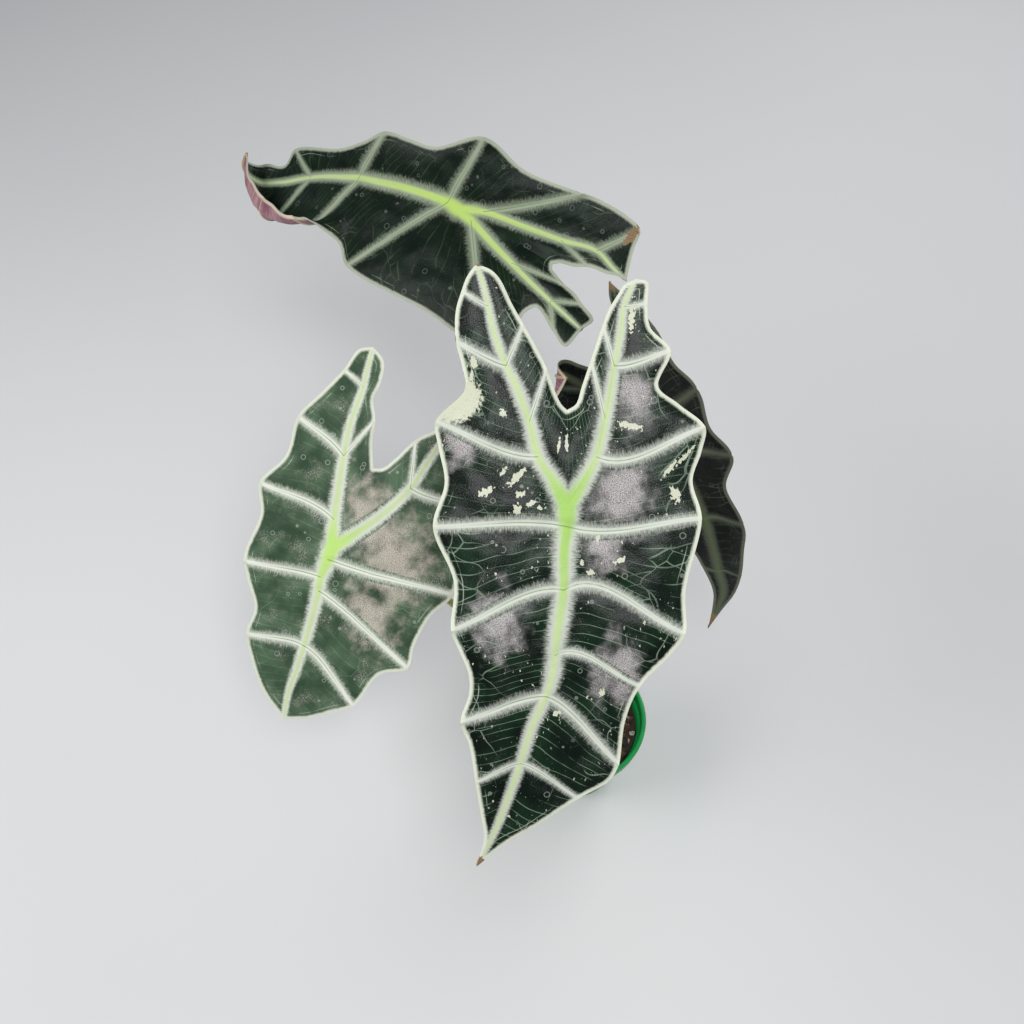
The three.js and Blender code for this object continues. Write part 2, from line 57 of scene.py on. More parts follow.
# %% Place the camera
ABOVE_HORIZON = 56
CAMERA_PLACE = (-0.0339, -0.2046, 0.5449)
bpy.ops.object.camera_add(location=CAMERA_PLACE)
camera = bpy.context.object
camera.name = "photo_camera"
camera.rotation_euler = (math.radians(90 - ABOVE_HORIZON), 0, 0)
camera.data.lens = 36
camera.data.sensor_width = 36
camera.data.clip_start = 0.01
bpy.context.scene.camera = camera
print("camera at", [round(v, 4) for v in camera.location])

# %% [markdown]
# ## The soft studio light
# The leaves are nearly black and glossy, so what they mirror matters as much as what lights them.
# The room itself stays dim. A soft box above the camera puts pale sheens on the swollen leaf
# cells that face it, and two wider and weaker ones fill in from the left and from behind.

# %% Light the studio
def soft_box(name, place, size, watts, aim):
    """A square lamp that looks at a point."""
    bpy.ops.object.light_add(type="AREA", location=place)
    box = bpy.context.object
    box.name = name
    box.data.size = size
    box.data.energy = watts
    box.rotation_euler = (Vector(aim) - Vector(place)).to_track_quat("-Z", "Y").to_euler()
    return box


MIDDLE = (-0.02, 0.05, 0.2)
soft_box("key_box", (0.05, -0.42, 0.95), 0.3, 5, MIDDLE)
soft_box("side_box", (-0.75, -0.1, 0.75), 0.5, 4, MIDDLE)
soft_box("back_box", (0.55, 0.75, 0.8), 0.6, 4, MIDDLE)
world = bpy.data.worlds.new("studio_air")
world.use_nodes = True
world.node_tree.nodes["Background"].inputs["Color"].default_value = (0.9, 0.95, 1, 1)
world.node_tree.nodes["Background"].inputs["Strength"].default_value = 0.32
bpy.context.scene.world = world
bpy.context.scene.view_settings.view_transform = "Standard"

# %% [markdown]
# ## Words for building materials
# A procedural material is a small program of nodes. Written out in full, each node takes three or
# four lines, so this helper gives short words for the few kinds that the plant needs. Every word
# takes numbers or the outputs of other words. An output is held as a wire, so that a plus or a
# times sign can stand for a Math node.

# %% A finish and its words
def tint(red, green, blue):
    """A colour as a screen shows it, 0 to 255, turned into the linear values that nodes use."""
    screen = np.array([red, green, blue]) / 255
    linear = np.where(screen <= 0.04045, screen / 12.92, ((screen + 0.055) / 1.055) ** 2.4)
    return (*[float(v) for v in linear], 1)


class Wire:
    """An output of a node, which adds and multiplies like a number by way of Math nodes."""

    def __init__(self, finish, socket):
        self.finish, self.socket = finish, socket

    def __add__(self, other):
        return self.finish.maths("ADD", self, other)

    def __sub__(self, other):
        return self.finish.maths("SUBTRACT", self, other)

    def __rsub__(self, other):
        return self.finish.maths("SUBTRACT", other, self)

    def __mul__(self, other):
        return self.finish.maths("MULTIPLY", self, other)

    __radd__, __rmul__ = __add__, __mul__

    def rise(self, low, high):
        """0 below low, 1 above high and smooth between. With low above high it falls instead."""
        ends = (low, high, 0, 1) if low < high else (high, low, 1, 0)
        made = self.finish.node("MapRange", self, *ends, interpolation_type="SMOOTHSTEP")
        return Wire(self.finish, made.outputs[0])


class Finish:
    """A material with a Principled shader, and words that add nodes to it."""

    def __init__(self, name, roughness, **fixed):
        self.material = bpy.data.materials.new(name)
        self.material.use_nodes = True
        self.tree = self.material.node_tree
        self.shader = self.tree.nodes["Principled BSDF"]
        self.shader.inputs["Roughness"].default_value = roughness
        for socket, value in fixed.items():
            self.shader.inputs[socket.replace("_", " ")].default_value = value

    def put(self, socket, value):
        """Links an output to a socket, or sets the socket to a number or colour."""
        if isinstance(value, Wire):
            self.tree.links.new(value.socket, socket)
        else:
            socket.default_value = value

    def node(self, kind, *inputs, **settings):
        made = self.tree.nodes.new("ShaderNode" + kind)
        for name, value in settings.items():
            setattr(made, name, value)
        for socket, value in zip(made.inputs, inputs):
            self.put(socket, value)
        return made

    def maths(self, operation, *values):
        return Wire(self, self.node("Math", *values, operation=operation).outputs[0])

    def most(self, *values):
        whole = values[0]
        for value in values[1:]:
            whole = self.maths("MAXIMUM", whole, value)
        return whole

    def blend(self, share, low, high):
        """One colour where the share is 0, another where it is 1. A Mix node keeps its two colours
        at sockets 6 and 7, and gives the blended one at output 2."""
        made = self.node("Mix", data_type="RGBA")
        self.put(made.inputs[0], share)
        self.put(made.inputs[6], low)
        self.put(made.inputs[7], high)
        return Wire(self, made.outputs[2])

    def coat(self, share, paint, ground=None):
        """Lays a colour over the coats so far, or over a ground, as thick as the share says."""
        self.paint = self.blend(share, ground or self.paint, paint)
        self.put(self.shader.inputs["Base Color"], self.paint)

    def apart(self, value, kind="XYZ"):
        """The three numbers of a vector or a colour."""
        return [Wire(self, socket) for socket in self.node("Separate" + kind, value).outputs]

    def attribute(self, name):
        """The three numbers of an attribute, and the same as one vector."""
        vector = Wire(self, self.node("Attribute", attribute_name=name).outputs["Vector"])
        return (*self.apart(vector), vector)

    def length(self, vector):
        return Wire(self, self.node("VectorMath", vector, operation="LENGTH").outputs["Value"])

    def object_place(self):
        return Wire(self, self.node("TexCoord").outputs["Object"])

    def moved(self, vector, location=(0, 0, 0), turn=0, scale=(1, 1, 1), kind="POINT"):
        made = self.node("Mapping", vector, location, (0, 0, math.radians(turn)), scale,
                         vector_type=kind)
        return Wire(self, made.outputs[0])

    def cloud(self, vector, scale, detail):
        """Soft noise between 0 and 1."""
        made = self.node("TexNoise")
        self.put(made.inputs["Vector"], vector)
        made.inputs["Scale"].default_value = scale
        made.inputs["Detail"].default_value = detail
        return Wire(self, made.outputs[0])

    def cells(self, vector, scale, feature="F1"):
        """Round cells: how far a cell's middle or border is, and the cell's own colour."""
        made = self.node("TexVoronoi", feature=feature)
        self.put(made.inputs["Vector"], vector)
        made.inputs["Scale"].default_value = scale
        return [Wire(self, socket) for socket in made.outputs[:2]]

    def relief(self, height, strength, depth):
        made = self.node("Bump")
        made.inputs["Strength"].default_value = strength
        made.inputs["Distance"].default_value = depth
        self.put(made.inputs["Height"], height)
        self.put(self.shader.inputs["Normal"], Wire(self, made.outputs[0]))

    def rough(self, value):
        self.put(self.shader.inputs["Roughness"], value)


print("the words are ready")

# %% [markdown]
# ## The leaves as flat plans
# On the real plant each blade is an arrowhead with a midrib, two lobes and a few strong side
# veins. It is planned flat, in millimetres: a runs from the junction towards the tip and b across.
# Each row is a station of a main vein: its place, the place on the margin it reaches on one side
# with the strength of the side vein there, and the same for the other side. Drawing the plan by
# stations keeps the veins, the swollen cells between them and the outline tied together.
#
# Heading, droop, roll, fold and bend put the plan in the air. A curl rolls an edge: it names the
# middle of an arc, the distance from it and the a at which the roll sets in, the radius of the
# roll and its full turn. Quilt and wave say how far the blade swells and its margin waves, bows
# how far side veins bow, fineness the size of a mesh cell, and crown and lean where the stalk
# starts and where it passes on its way up.

# %% Leaf plans
LEAVES = {
    "front": {
        "junction": (-15, -6, 254), "heading": -90, "droop": 36, "roll": 0,
        "fold": (3, 3), "bend": (0.002, 0.001), "quilt": 1.9, "wave": 2.2,
        "crown": -80, "lean": (-10, 9), "curls": (), "fineness": 0.95,
        "midrib": [
            (0, 0, -8, -42, 0, -9, 43, 0), (7, 0, 7, -46, 1, 4, 46, 1),
            (17, -1, 26, -39, 0, 29, 41, 0), (29, -1, 43, -40, 1, 44, 41, 1),
            (43, -3, 51, -37, 0, 52, 36, 0), (52, -4, 59, -34, 0, 63, 26, 0.6),
            (60, -5, 66, -34, 0, 76, 21, 0), (67, -7, 76, -37, 1, 92, 19, 1),
            (78, -12, 85, -34, 0, 99, 16, 0), (92, -16, 99, -32, 0.5, 106, 5, 0.5),
            (107, -21, 113, -30, 0, 117, -10, 0), (118, -25, 121, -29, 0, 123, -20, 0),
            (133, -32, 133, -32, 0, 133, -32, 0),
        ],
        "lowLobe": [
            (0, 0, -8, -42, 0, -33, 0, 0), (-9, -5, -20, -44, 0, -35, -2, 0),
            (-17, -10, -29, -45, 1, -39, -4, 0), (-29, -13, -40, -35, 0, -47, -7, 0.4),
            (-42, -18, -48, -36, 0, -55, -11, 0), (-48, -21, -56, -38, 1, -62, -15, 0.4),
            (-59, -25, -66, -38, 0, -69, -19, 0), (-68, -27, -73, -36, 0.4, -77, -23, 0),
            (-76, -29, -78, -34, 0, -80, -26, 0), (-82, -31, -82, -31, 0, -82, -31, 0),
        ],
        "highLobe": [
            (0, 0, -9, 43, 0, -33, 0, 0), (-9, 6, -19, 46, 0, -35, 3, 0),
            (-17, 10, -27, 47, 1, -41, 5, 0), (-30, 13, -35, 38, 0, -50, 8, 0.4),
            (-41, 15, -41, 31, 0, -56, 10, 0), (-48, 16, -53, 35, 1, -62, 12, 0.4),
            (-59, 18, -61, 28, 0, -67, 14, 0), (-68, 19, -69, 27, 0.4, -72, 17, 0),
            (-73, 21, -76, 27, 0, -75, 19, 0), (-77, 23, -77, 23, 0, -77, 23, 0),
        ],
        "bows": {
            "midrib": ({1: -1.4, 3: -3.2, 5: -1, 7: -1.4}, {1: 2.5, 3: -6, 5: -4, 7: -2.5}),
            "lowLobe": ({2: 2.2, 5: 0.6}, {}),
            "highLobe": ({2: 4, 5: 1}, {}),
        },
    },
    "left": {
        "junction": (-109, 22, 182), "heading": -103, "droop": 40, "roll": -3,
        "fold": (4, 4), "bend": (0.002, 0.001), "quilt": 1.5, "wave": 1.8,
        "crown": -170, "lean": (-66, 28), "curls": (), "fineness": 1.1,
        "midrib": [
            (0, 0, -9, -32, 0, -9, 53, 0), (5, -1, 3, -35, 0, 9, 54, 1),
            (9, -2, 7, -36, 0, 20, 46, 0), (13, -3, 12, -36, 1, 34, 41, 0),
            (19, -3, 21, -33, 0, 44, 40, 1), (30, -4, 31, -29, 0, 50, 28, 0),
            (44, -6, 43, -31, 1, 66, 19, 1), (56, -8, 56, -27, 0, 72, 9, 0),
            (65, -10, 68, -21, 0, 77, -1, 0), (79, -11, 79, -11, 0, 79, -11, 0),
        ],
        "lowLobe": [
            (0, 0, -9, -32, 0, -36, 12, 0), (-12, -1, -22, -34, 1, -41, 11, 0),
            (-26, -1, -35, -25, 0, -48, 10, 0), (-39, -1, -52, -22, 1, -56, 10, 0.4),
            (-53, 0, -63, -14, 0, -64, 8, 0), (-68, 3, -74, -6, 0.4, -71, 10, 0),
            (-78, 4, -83, -1, 0, -80, 10, 0), (-85, 5, -85, 5, 0, -85, 5, 0),
        ],
        "highLobe": [
            (0, 0, -9, 53, 0, -36, 12, 0), (-8, 9, -16, 53, 0, -37, 16, 0),
            (-19, 20, -21, 51, 0, -41, 20, 0), (-31, 29, -28, 50, 1, -51, 28, 0.4),
            (-44, 35, -40, 53, 0, -56, 35, 0), (-54, 40, -51, 53, 0.4, -60, 41, 0),
            (-64, 46, -64, 46, 0, -64, 46, 0),
        ],
        "bows": {
            "midrib": ({3: -0.6, 6: -1.2}, {1: 1, 4: -1, 6: -2}),
            "lowLobe": ({1: -2, 3: -1.2}, {}),
            "highLobe": ({3: 1}, {}),
        },
    },
    "back": {
        "junction": (-56, 139, 261), "heading": 152, "droop": 6, "roll": -33,
        "fold": (30, 5), "bend": (0.003, 0.002), "quilt": 1.6, "wave": 1.8,
        "crown": 100, "lean": (-36, 105), "fineness": 1.1,
        "curls": (((85, -22), 42, 46, 5, 165),),
        "midrib": [
            (0, 0, -27, -22, 0, -3, 45, 0), (6, -2, -8, -31, 1, 42, 36, 1),
            (29, -4, 15, -23, 0, 53, 26, 0), (42, -4, 28, -24, 0, 63, 27, 0),
            (54, -4, 40, -25, 1, 73, 31, 1), (63, -3, 51, -20, 0, 80, 34, 0),
            (72, -2, 66, -15, 0, 88, 37, 0), (84, 0, 96, -12, 0.7, 101, 36, 0.7),
            (100, 4, 105, -4, 0, 117, 31, 0), (116, 6, 119, -4, 0, 128, 20, 0),
            (127, 6, 130, -1, 0, 135, 12, 0), (139, 6, 139, 6, 0, 139, 6, 0),
        ],
        "lowLobe": [
            (0, 0, -27, -22, 0, -49, 12, 0), (-11, -2, -56, -18, 1, -52, 11, 0),
            (-30, 0, -66, -16, 0, -59, 11, 0), (-49, 2, -75, -13, 0, -65, 10, 0.4),
            (-66, 3, -82, -9, 1, -74, 11, 0), (-75, 8, -81, -1, 0, -78, 11, 0),
            (-83, 12, -83, 12, 0, -83, 12, 0),
        ],
        "highLobe": [
            (0, 0, -3, 45, 0, -49, 12, 0), (-7, 3, -34, 52, 1, -50, 14, 0),
            (-20, 10, -44, 43, 0, -53, 16, 0), (-32, 16, -46, 34, 0, -58, 19, 0.4),
            (-42, 21, -50, 31, 0, -63, 21, 0), (-55, 27, -62, 39, 0.5, -69, 25, 0.4),
            (-64, 31, -69, 43, 0, -76, 30, 0), (-73, 35, -73, 35, 0, -73, 35, 0),
        ],
        "bows": {"midrib": ({1: 1, 4: 1}, {1: 1}), "lowLobe": ({}, {}), "highLobe": ({}, {})},
    },
    "right": {
        "junction": (26, 62, 206), "heading": -47, "droop": 52, "roll": 62,
        "fold": (12, 22), "bend": (0.003, 0.002), "quilt": 1.4, "wave": 1.8,
        "crown": 10, "lean": (29, 67), "fineness": 1.2,
        "curls": (((200, 346), 439, -200, 4, 150),),
        "midrib": [
            (0, 0, -8, -31, 0, -3, 31, 0), (9, 4, 2, -35, 1, 8, 38, 1),
            (26, 7, 20, -29, 0, 26, 26, 0), (45, 6, 38, -26, 1, 45, 27, 1),
            (64, 2, 60, -9, 0, 64, 18, 0), (79, -2, 74, -8, 0.4, 83, 8, 0.4),
            (92, -5, 91, -10, 0, 97, -2, 0), (104, -13, 102, -15, 0, 106, -12, 0),
            (117, -24, 117, -24, 0, 117, -24, 0),
        ],
        "lowLobe": [
            (0, 0, -8, -31, 0, -30, -2, 0), (-10, -5, -22, -36, 1, -33, -5, 0),
            (-20, -11, -31, -34, 0, -36, -10, 0), (-29, -17, -38, -35, 0.5, -41, -16, 0),
            (-39, -24, -45, -34, 0, -48, -23, 0), (-51, -32, -51, -32, 0, -51, -32, 0),
        ],
        "highLobe": [
            (0, 0, -3, 31, 0, -30, -2, 0), (-10, 8, -23, 34, 1, -36, 3, 0),
            (-26, 12, -34, 27, 0, -46, 6, 0), (-42, 13, -50, 26, 0.5, -56, 8, 0),
            (-58, 14, -63, 20, 0, -66, 10, 0), (-73, 14, -73, 14, 0, -73, 14, 0),
        ],
        "bows": {
            "midrib": ({1: 1, 3: 1}, {1: -2, 3: -2}), "lowLobe": ({}, {}), "highLobe": ({}, {}),
        },
    },
}
print("leaf plans:", list(LEAVES))

# %% [markdown]
# ## From the plan into the air
# A line through the stations has to be smooth, so it is a spline that passes through every one of
# them. A plan place is then rolled where an edge curls, folded along the midrib, arched along it
# and at last carried to the leaf's own junction, heading and tilt. The same steps shape the
# solids of the frame, so a leaf made here lies where its solid is.

# %% Smooth lines through stations
def smooth_line(places):
    """A spline through places. It is read at station numbers, which may have a fraction."""
    places = np.array(places, float)
    first = 2 * places[0] - places[1]
    final = 2 * places[-1] - places[-2]
    padded = np.vstack([first, places, final])

    def read(numbers):
        numbers = np.asarray(numbers, float)
        k = np.clip(numbers.astype(int), 0, len(places) - 2)
        share = (numbers - k)[:, None]
        p0, p1, p2, p3 = (padded[k + i] for i in range(4))
        spans = ((p0, p1), (p1, p2), (p2, p3))
        gaps = [np.sqrt(np.linalg.norm(q - p, axis=1))[:, None] for p, q in spans]
        middle = np.where(gaps[1] < 1e-4, 1, gaps[1])
        before = np.where(gaps[0] < 1e-4, middle, gaps[0])
        after = np.where(gaps[2] < 1e-4, middle, gaps[2])
        t1 = ((p1 - p0) / before - (p2 - p0) / (before + middle) + (p2 - p1) / middle) * middle
        t2 = ((p2 - p1) / middle - (p3 - p1) / (middle + after) + (p3 - p2) / after) * middle
        square, cube = share**2, share**3
        return (p1 + t1 * share + (3 * p2 - 3 * p1 - 2 * t1 - t2) * square
                + (2 * p1 - 2 * p2 + t1 + t2) * cube)

    return read


# %% Leaf axes and places in the air
FOLD_ROUNDING = 6
CURL_ONSET = 20


def smooth_step(x):
    x = np.clip(x, 0, 1)
    return x**2 * (3 - 2 * x)


def leaf_axes(leaf):
    """The directions along the midrib, across it and out of the upper face."""
    heading, droop = math.radians(leaf["heading"]), math.radians(leaf["droop"])
    level = Vector((math.cos(heading), math.sin(heading), 0))
    along = level * math.cos(droop) - Vector((0, 0, math.sin(droop)))
    flat_across = Vector((-level.y, level.x, 0))
    turn = Matrix.Rotation(math.radians(leaf["roll"]), 3, along)
    return [np.array(v) for v in (along, turn @ flat_across, turn @ along.cross(flat_across))]


def leaf_place(leaf, plan):
    """Plan places in millimetres, carried into the air."""
    a, b = plan[:, 0], plan[:, 1]
    x, y, z = a.copy(), b.copy(), np.zeros(len(a))
    for middle, start, after, radius, most in leaf["curls"]:
        from_middle = np.hypot(a - middle[0], b - middle[1])
        c, s = (a - middle[0]) / from_middle, (b - middle[1]) / from_middle
        past = np.maximum(0, from_middle - start) * smooth_step((a - after) / CURL_ONSET)
        turn = np.minimum(past / radius, math.radians(most))
        rest = past - turn * radius
        reach = radius * np.sin(turn) + rest * np.cos(turn)
        x += (reach - past) * c
        y += (reach - past) * s
        z += radius * (1 - np.cos(turn)) + rest * np.sin(turn)
    fold = np.radians(np.where(y > 0, leaf["fold"][1], leaf["fold"][0]))
    z += (np.hypot(y, FOLD_ROUNDING) - FOLD_ROUNDING) * np.tan(fold)
    y = y * np.cos(fold)
    arch = np.where(x > 0, leaf["bend"][0], -leaf["bend"][1])
    radius = 1 / arch + z
    along, across, up = leaf_axes(leaf)
    reach, lift = np.sin(arch * x) * radius, np.cos(arch * x) * radius - 1 / arch
    return (np.array(leaf["junction"]) + reach[:, None] * along + y[:, None] * across
            + lift[:, None] * up)


def leaf_normal(leaf, plan):
    """Which way the upper face looks at each plan place."""
    step_a, step_b = np.array([0.5, 0]), np.array([0, 0.5])
    run = leaf_place(leaf, plan + step_a) - leaf_place(leaf, plan - step_a)
    rise = leaf_place(leaf, plan + step_b) - leaf_place(leaf, plan - step_b)
    out = np.cross(run, rise)
    return out / np.linalg.norm(out, axis=1)[:, None]


print("front leaf's tip:", leaf_place(LEAVES["front"], np.array([[133.0, -32.0]])).round(1))

# %% [markdown]
# ## The strips of a leaf
# Between a main vein and a margin lies a strip, and every leaf has six: one on each side of the
# midrib and of both lobe veins. A strip is an even sheet of cells, as long as its vein and as wide
# as the blade there, so a flat grid is the natural start for it. Side veins bow a little on their
# way out; a bow moves the middle of a ray and leaves its ends.

# %% Strips between a vein and a margin
def leaf_strips(leaf):
    """Each strip as its vein, the place of its strengths in a row, its set of bows, its edge line
    and whether it lies on the left."""
    sinus = leaf["lowLobe"][0][5:7]
    strips = []
    for side, name in enumerate(("lowLobe", "highLobe")):
        lobe = leaf[name]
        last = len(lobe) - 1
        midrib_edge = [row[5:7] if side else row[2:4] for row in leaf["midrib"][1:]]
        outer = smooth_line([row[2:4] for row in reversed(lobe)] + midrib_edge)
        inner = smooth_line([sinus] + [row[5:7] for row in lobe[1:]])
        on_left = side == 1
        strips.append(("midrib", 7 if side else 4, side,
                       lambda u, e=outer, n=last: e(n + u), on_left))
        strips.append((name, 4, 0, lambda u, e=outer, n=last: e(n - u), not on_left))
        strips.append((name, 7, 1, lambda u, e=inner: e(u), on_left))
    return strips


BOW_TO_UNIT_PEAK = 6.75


def ray_places(leaf, strip, numbers, shares):
    """Plan places on the rays of a strip, at station numbers and shares of the way out."""
    vein, _, side, edge, _ = strip
    root = smooth_line([row[:2] for row in leaf[vein]])(numbers)
    given = leaf["bows"][vein][side]
    last = len(leaf[vein]) - 1
    knots = sorted({0: 0, last: 0, **given}.items())
    bow = np.interp(numbers, [k for k, _ in knots], [v for _, v in knots])
    plan = root + (edge(numbers) - root) * shares[:, None]
    plan[:, 0] += bow * BOW_TO_UNIT_PEAK * shares * (1 - shares) ** 2
    width = np.linalg.norm(edge(numbers) - root, axis=1)
    return plan, width


# %% Distances to the veins
MIDRIB_HALF_WIDTH = 3.4
LOBE_VEIN_HALF_WIDTH = 2.7
VEIN_TAPER = 0.72
Near = namedtuple("Near", "halves half_width away along")


def near_lines(places, lines):
    """The line nearest to each place: how many of its half-widths away, its half-width, how far
    away and how far along it in millimetres."""
    best = np.full(len(places), 1e9)
    wide = np.ones(len(places))
    along = np.zeros(len(places))
    for line, widths in lines:
        length = 0.0
        for p, q, wide_p, wide_q in zip(line[:-1], line[1:], widths[:-1], widths[1:]):
            run = q - p
            size = max(np.linalg.norm(run), 1e-9)
            share = np.clip(((places - p) @ run) / size**2, 0, 1)
            away = np.linalg.norm(places - p - share[:, None] * run, axis=1)
            here = wide_p + (wide_q - wide_p) * share
            closer = away / here < best
            best = np.where(closer, away / here, best)
            wide = np.where(closer, here, wide)
            along = np.where(closer, length + share * size, along)
            length += size
    return Near(best, wide, best * wide, along)


def vein_lines(leaf):
    """Main veins, side veins and margins as lines of plan places with their half-widths."""
    mains, sides, margins = [], [], []
    for vein in ("midrib", "lowLobe", "highLobe"):
        wide = MIDRIB_HALF_WIDTH if vein == "midrib" else LOBE_VEIN_HALF_WIDTH
        last = len(leaf[vein]) - 1
        numbers = np.linspace(0, last, last * 5 + 1)
        line = smooth_line([row[:2] for row in leaf[vein]])(numbers)
        mains.append((line, wide * (1 - VEIN_TAPER * numbers / last)))
    shares = np.linspace(0, 1, 11)
    for strip in leaf_strips(leaf):
        vein, strength_at = strip[:2]
        last = len(leaf[vein]) - 1
        for k, row in enumerate(leaf[vein]):
            strength = row[strength_at]
            if strength > 0:
                line, _ = ray_places(leaf, strip, np.full(len(shares), float(k)), shares)
                sides.append((line, (0.55 + 1.15 * strength) * (1 - 0.35 * shares)))
        numbers = np.linspace(0, last, last * 6 + 1)
        line, _ = ray_places(leaf, strip, numbers, np.ones(len(numbers)))
        margins.append((line, np.ones(len(line))))
    return mains, sides, margins


print("veins of the front leaf:", [len(lines) for lines in vein_lines(LEAVES["front"])])

# %% [markdown]
# ## The upper face of a leaf
# The real upper face is a near-black green with feathered silver veins, a lime heart, a cream
# margin, thin pale vein arcs, rings that drops left as they dried and a few cream flecks. A dusty
# film that is partly a painted sheen, and pale patches of painted glare on its bulges, are laid on
# as well.
#
# Painting it in layers keeps every mark tied to the plan: the mesh carries how far each place is
# from the veins and the margin, and noise frays those borders. A fleck is a unit circle that a
# Mapping node has moved, turned and stretched, with a ragged edge. Each kind of mark is a word of
# its own, and the finish lays them over each other.

# %% Ovals and thin lines
def marks(skin, flat, rows, ragged, soft=0.06):
    """1 inside any of the ovals given as (a, b, half length, half width, turn)."""
    inside = None
    for a, b, long, wide, turn in rows:
        oval = skin.moved(flat, (a, b, 0), turn, (long, wide, 1), kind="TEXTURE")
        depth = 1 - skin.length(oval)
        inside = depth if inside is None else skin.most(inside, depth)
    if inside is None:
        return 0.0
    return (inside + ragged).rise(-soft, soft)


def line_at(skin, value, centre, half_width):
    """1 on a thin line where a value passes its centre."""
    away = skin.maths("ABSOLUTE", value - centre)
    return away.rise(half_width * 1.6, half_width * 0.5)


# %% Feathered silver veins
def silver_veins(skin, main, side, fray):
    """Hairs of colour round every vein, and the solid core of the side veins."""
    side_hairs = (side + fray * 1.6).rise(2.7, 0.2)
    side_core = side.rise(1.1, 0.5)
    main_hairs = (main + fray * 0.9).rise(2.0, 0.7)
    return skin.most(side_hairs * 0.72, side_core * 0.92, main_hairs * 0.8)


# %% Thin vein arcs and loops
def thin_veins(skin, flat, u, t, broad, wander, look):
    """Arcs that run out from the main vein, and loops that join them near the margin."""
    bowed = skin.maths("POWER", t, 2) * 0.7 + wander
    step = skin.maths("FRACT", u * look["arcs"] + bowed)
    arcs = line_at(skin, step, 0.5, 0.035) * broad.rise(0.38, 0.6)
    sideways = [skin.cloud(place, 0.06, 1) * 14
                for place in (flat, skin.moved(flat, (60, 20, 0)))]
    drift = Wire(skin, skin.node("CombineXYZ", *sideways).outputs[0])
    bent = Wire(skin, skin.node("VectorMath", flat, drift, operation="ADD").outputs[0])
    nets = skin.cells(bent, 0.085, "DISTANCE_TO_EDGE")[0]
    loops = nets.rise(0.018, 0.006) * t.rise(0.45, 0.75)
    loops = loops * skin.cloud(flat, 0.07, 1).rise(0.4, 0.55)
    return skin.most(arcs, loops) * look["threads"]


# %% Dusty film with painted sheen, and painted glare, between the veins
def dust_sheen_and_glare(skin, flat, main, side, grain, look):
    """A thin dusty film in patches that is partly a painted sheen, and pale patches of painted
    glare at the places that the look names.
    """
    clear = skin.most(side.rise(2.6, 1.2), main.rise(2.2, 1.2)).rise(0.6, 0.1)
    # The film is partly dust and partly a painted sheen.
    patches = skin.cloud(skin.moved(flat, (31, 7, 0)), 0.085, 3).rise(0.5, 0.72)
    film = patches * grain.rise(0.42, 0.66) * clear
    # Painted glare: soft pale patches on the bulges, a highlight painted into the colour.
    uneven = (skin.cloud(flat, 0.16, 5) - 0.5) * 3.4
    bloom = clear * 0.8 * marks(skin, flat, look["bloom"], uneven, soft=0.8)
    bloom = bloom * skin.cloud(flat, 2.6, 3).rise(0.2, 0.7)
    return film * look["film"], bloom


# %% Rings and specks of dried drops
def dried_drops(skin, flat):
    """A Voronoi cell gives each drop its place, and the cell's colour its luck and its size."""
    distance, ring_tint = skin.cells(flat, 0.2)
    luck = skin.apart(ring_tint, "Color")
    size = luck[0] * 0.2 + 0.06
    rings = line_at(skin, distance, size, 0.028) * luck[1].rise(0.5, 0.54)
    dots, dot_tint = skin.cells(flat, 1.1)
    dot_luck = skin.apart(dot_tint, "Color")[0]
    specks = dots.rise(0.2, 0.1) * dot_luck.rise(0.7, 0.74)
    specks = specks * skin.cloud(flat, 0.12, 2).rise(0.45, 0.6)
    return skin.most(rings, specks)


# %% The lime heart
def lime_heart(skin, flat, along, main, look):
    """Lime in the middle of the main veins, fading with the distance from the junction."""
    from_heart = skin.length(flat)
    share = skin.most(along.rise(-24, 0), look["lobe_share"])
    reach = from_heart.rise(look["heart_reach"], 3) * share
    heart = skin.most(main.rise(0.75, 0.25) * reach,
                      main.rise(1.3, 0.5) * from_heart.rise(16, 2))
    return heart * 0.88


# %% Cream flecks and dry edges
def cream_marks(skin, flat, ragged, grain, look):
    """The flecks and the patch that the look names, and smaller flakes by chance."""
    named = skin.most(marks(skin, flat, look["flecks"], ragged),
                      marks(skin, flat, look["patch"], ragged * 0.3, soft=0.12))
    crumbs = skin.cloud(skin.moved(flat, (9, 40, 0), scale=(0.8, 1.2, 1)), 0.6, 3)
    flakes = crumbs.rise(0.66, 0.68) * skin.cloud(flat, 0.05, 1).rise(0.48, 0.56)
    cream = skin.most(named, flakes * look["flakes"])
    return cream * grain.rise(0.1, 0.45)


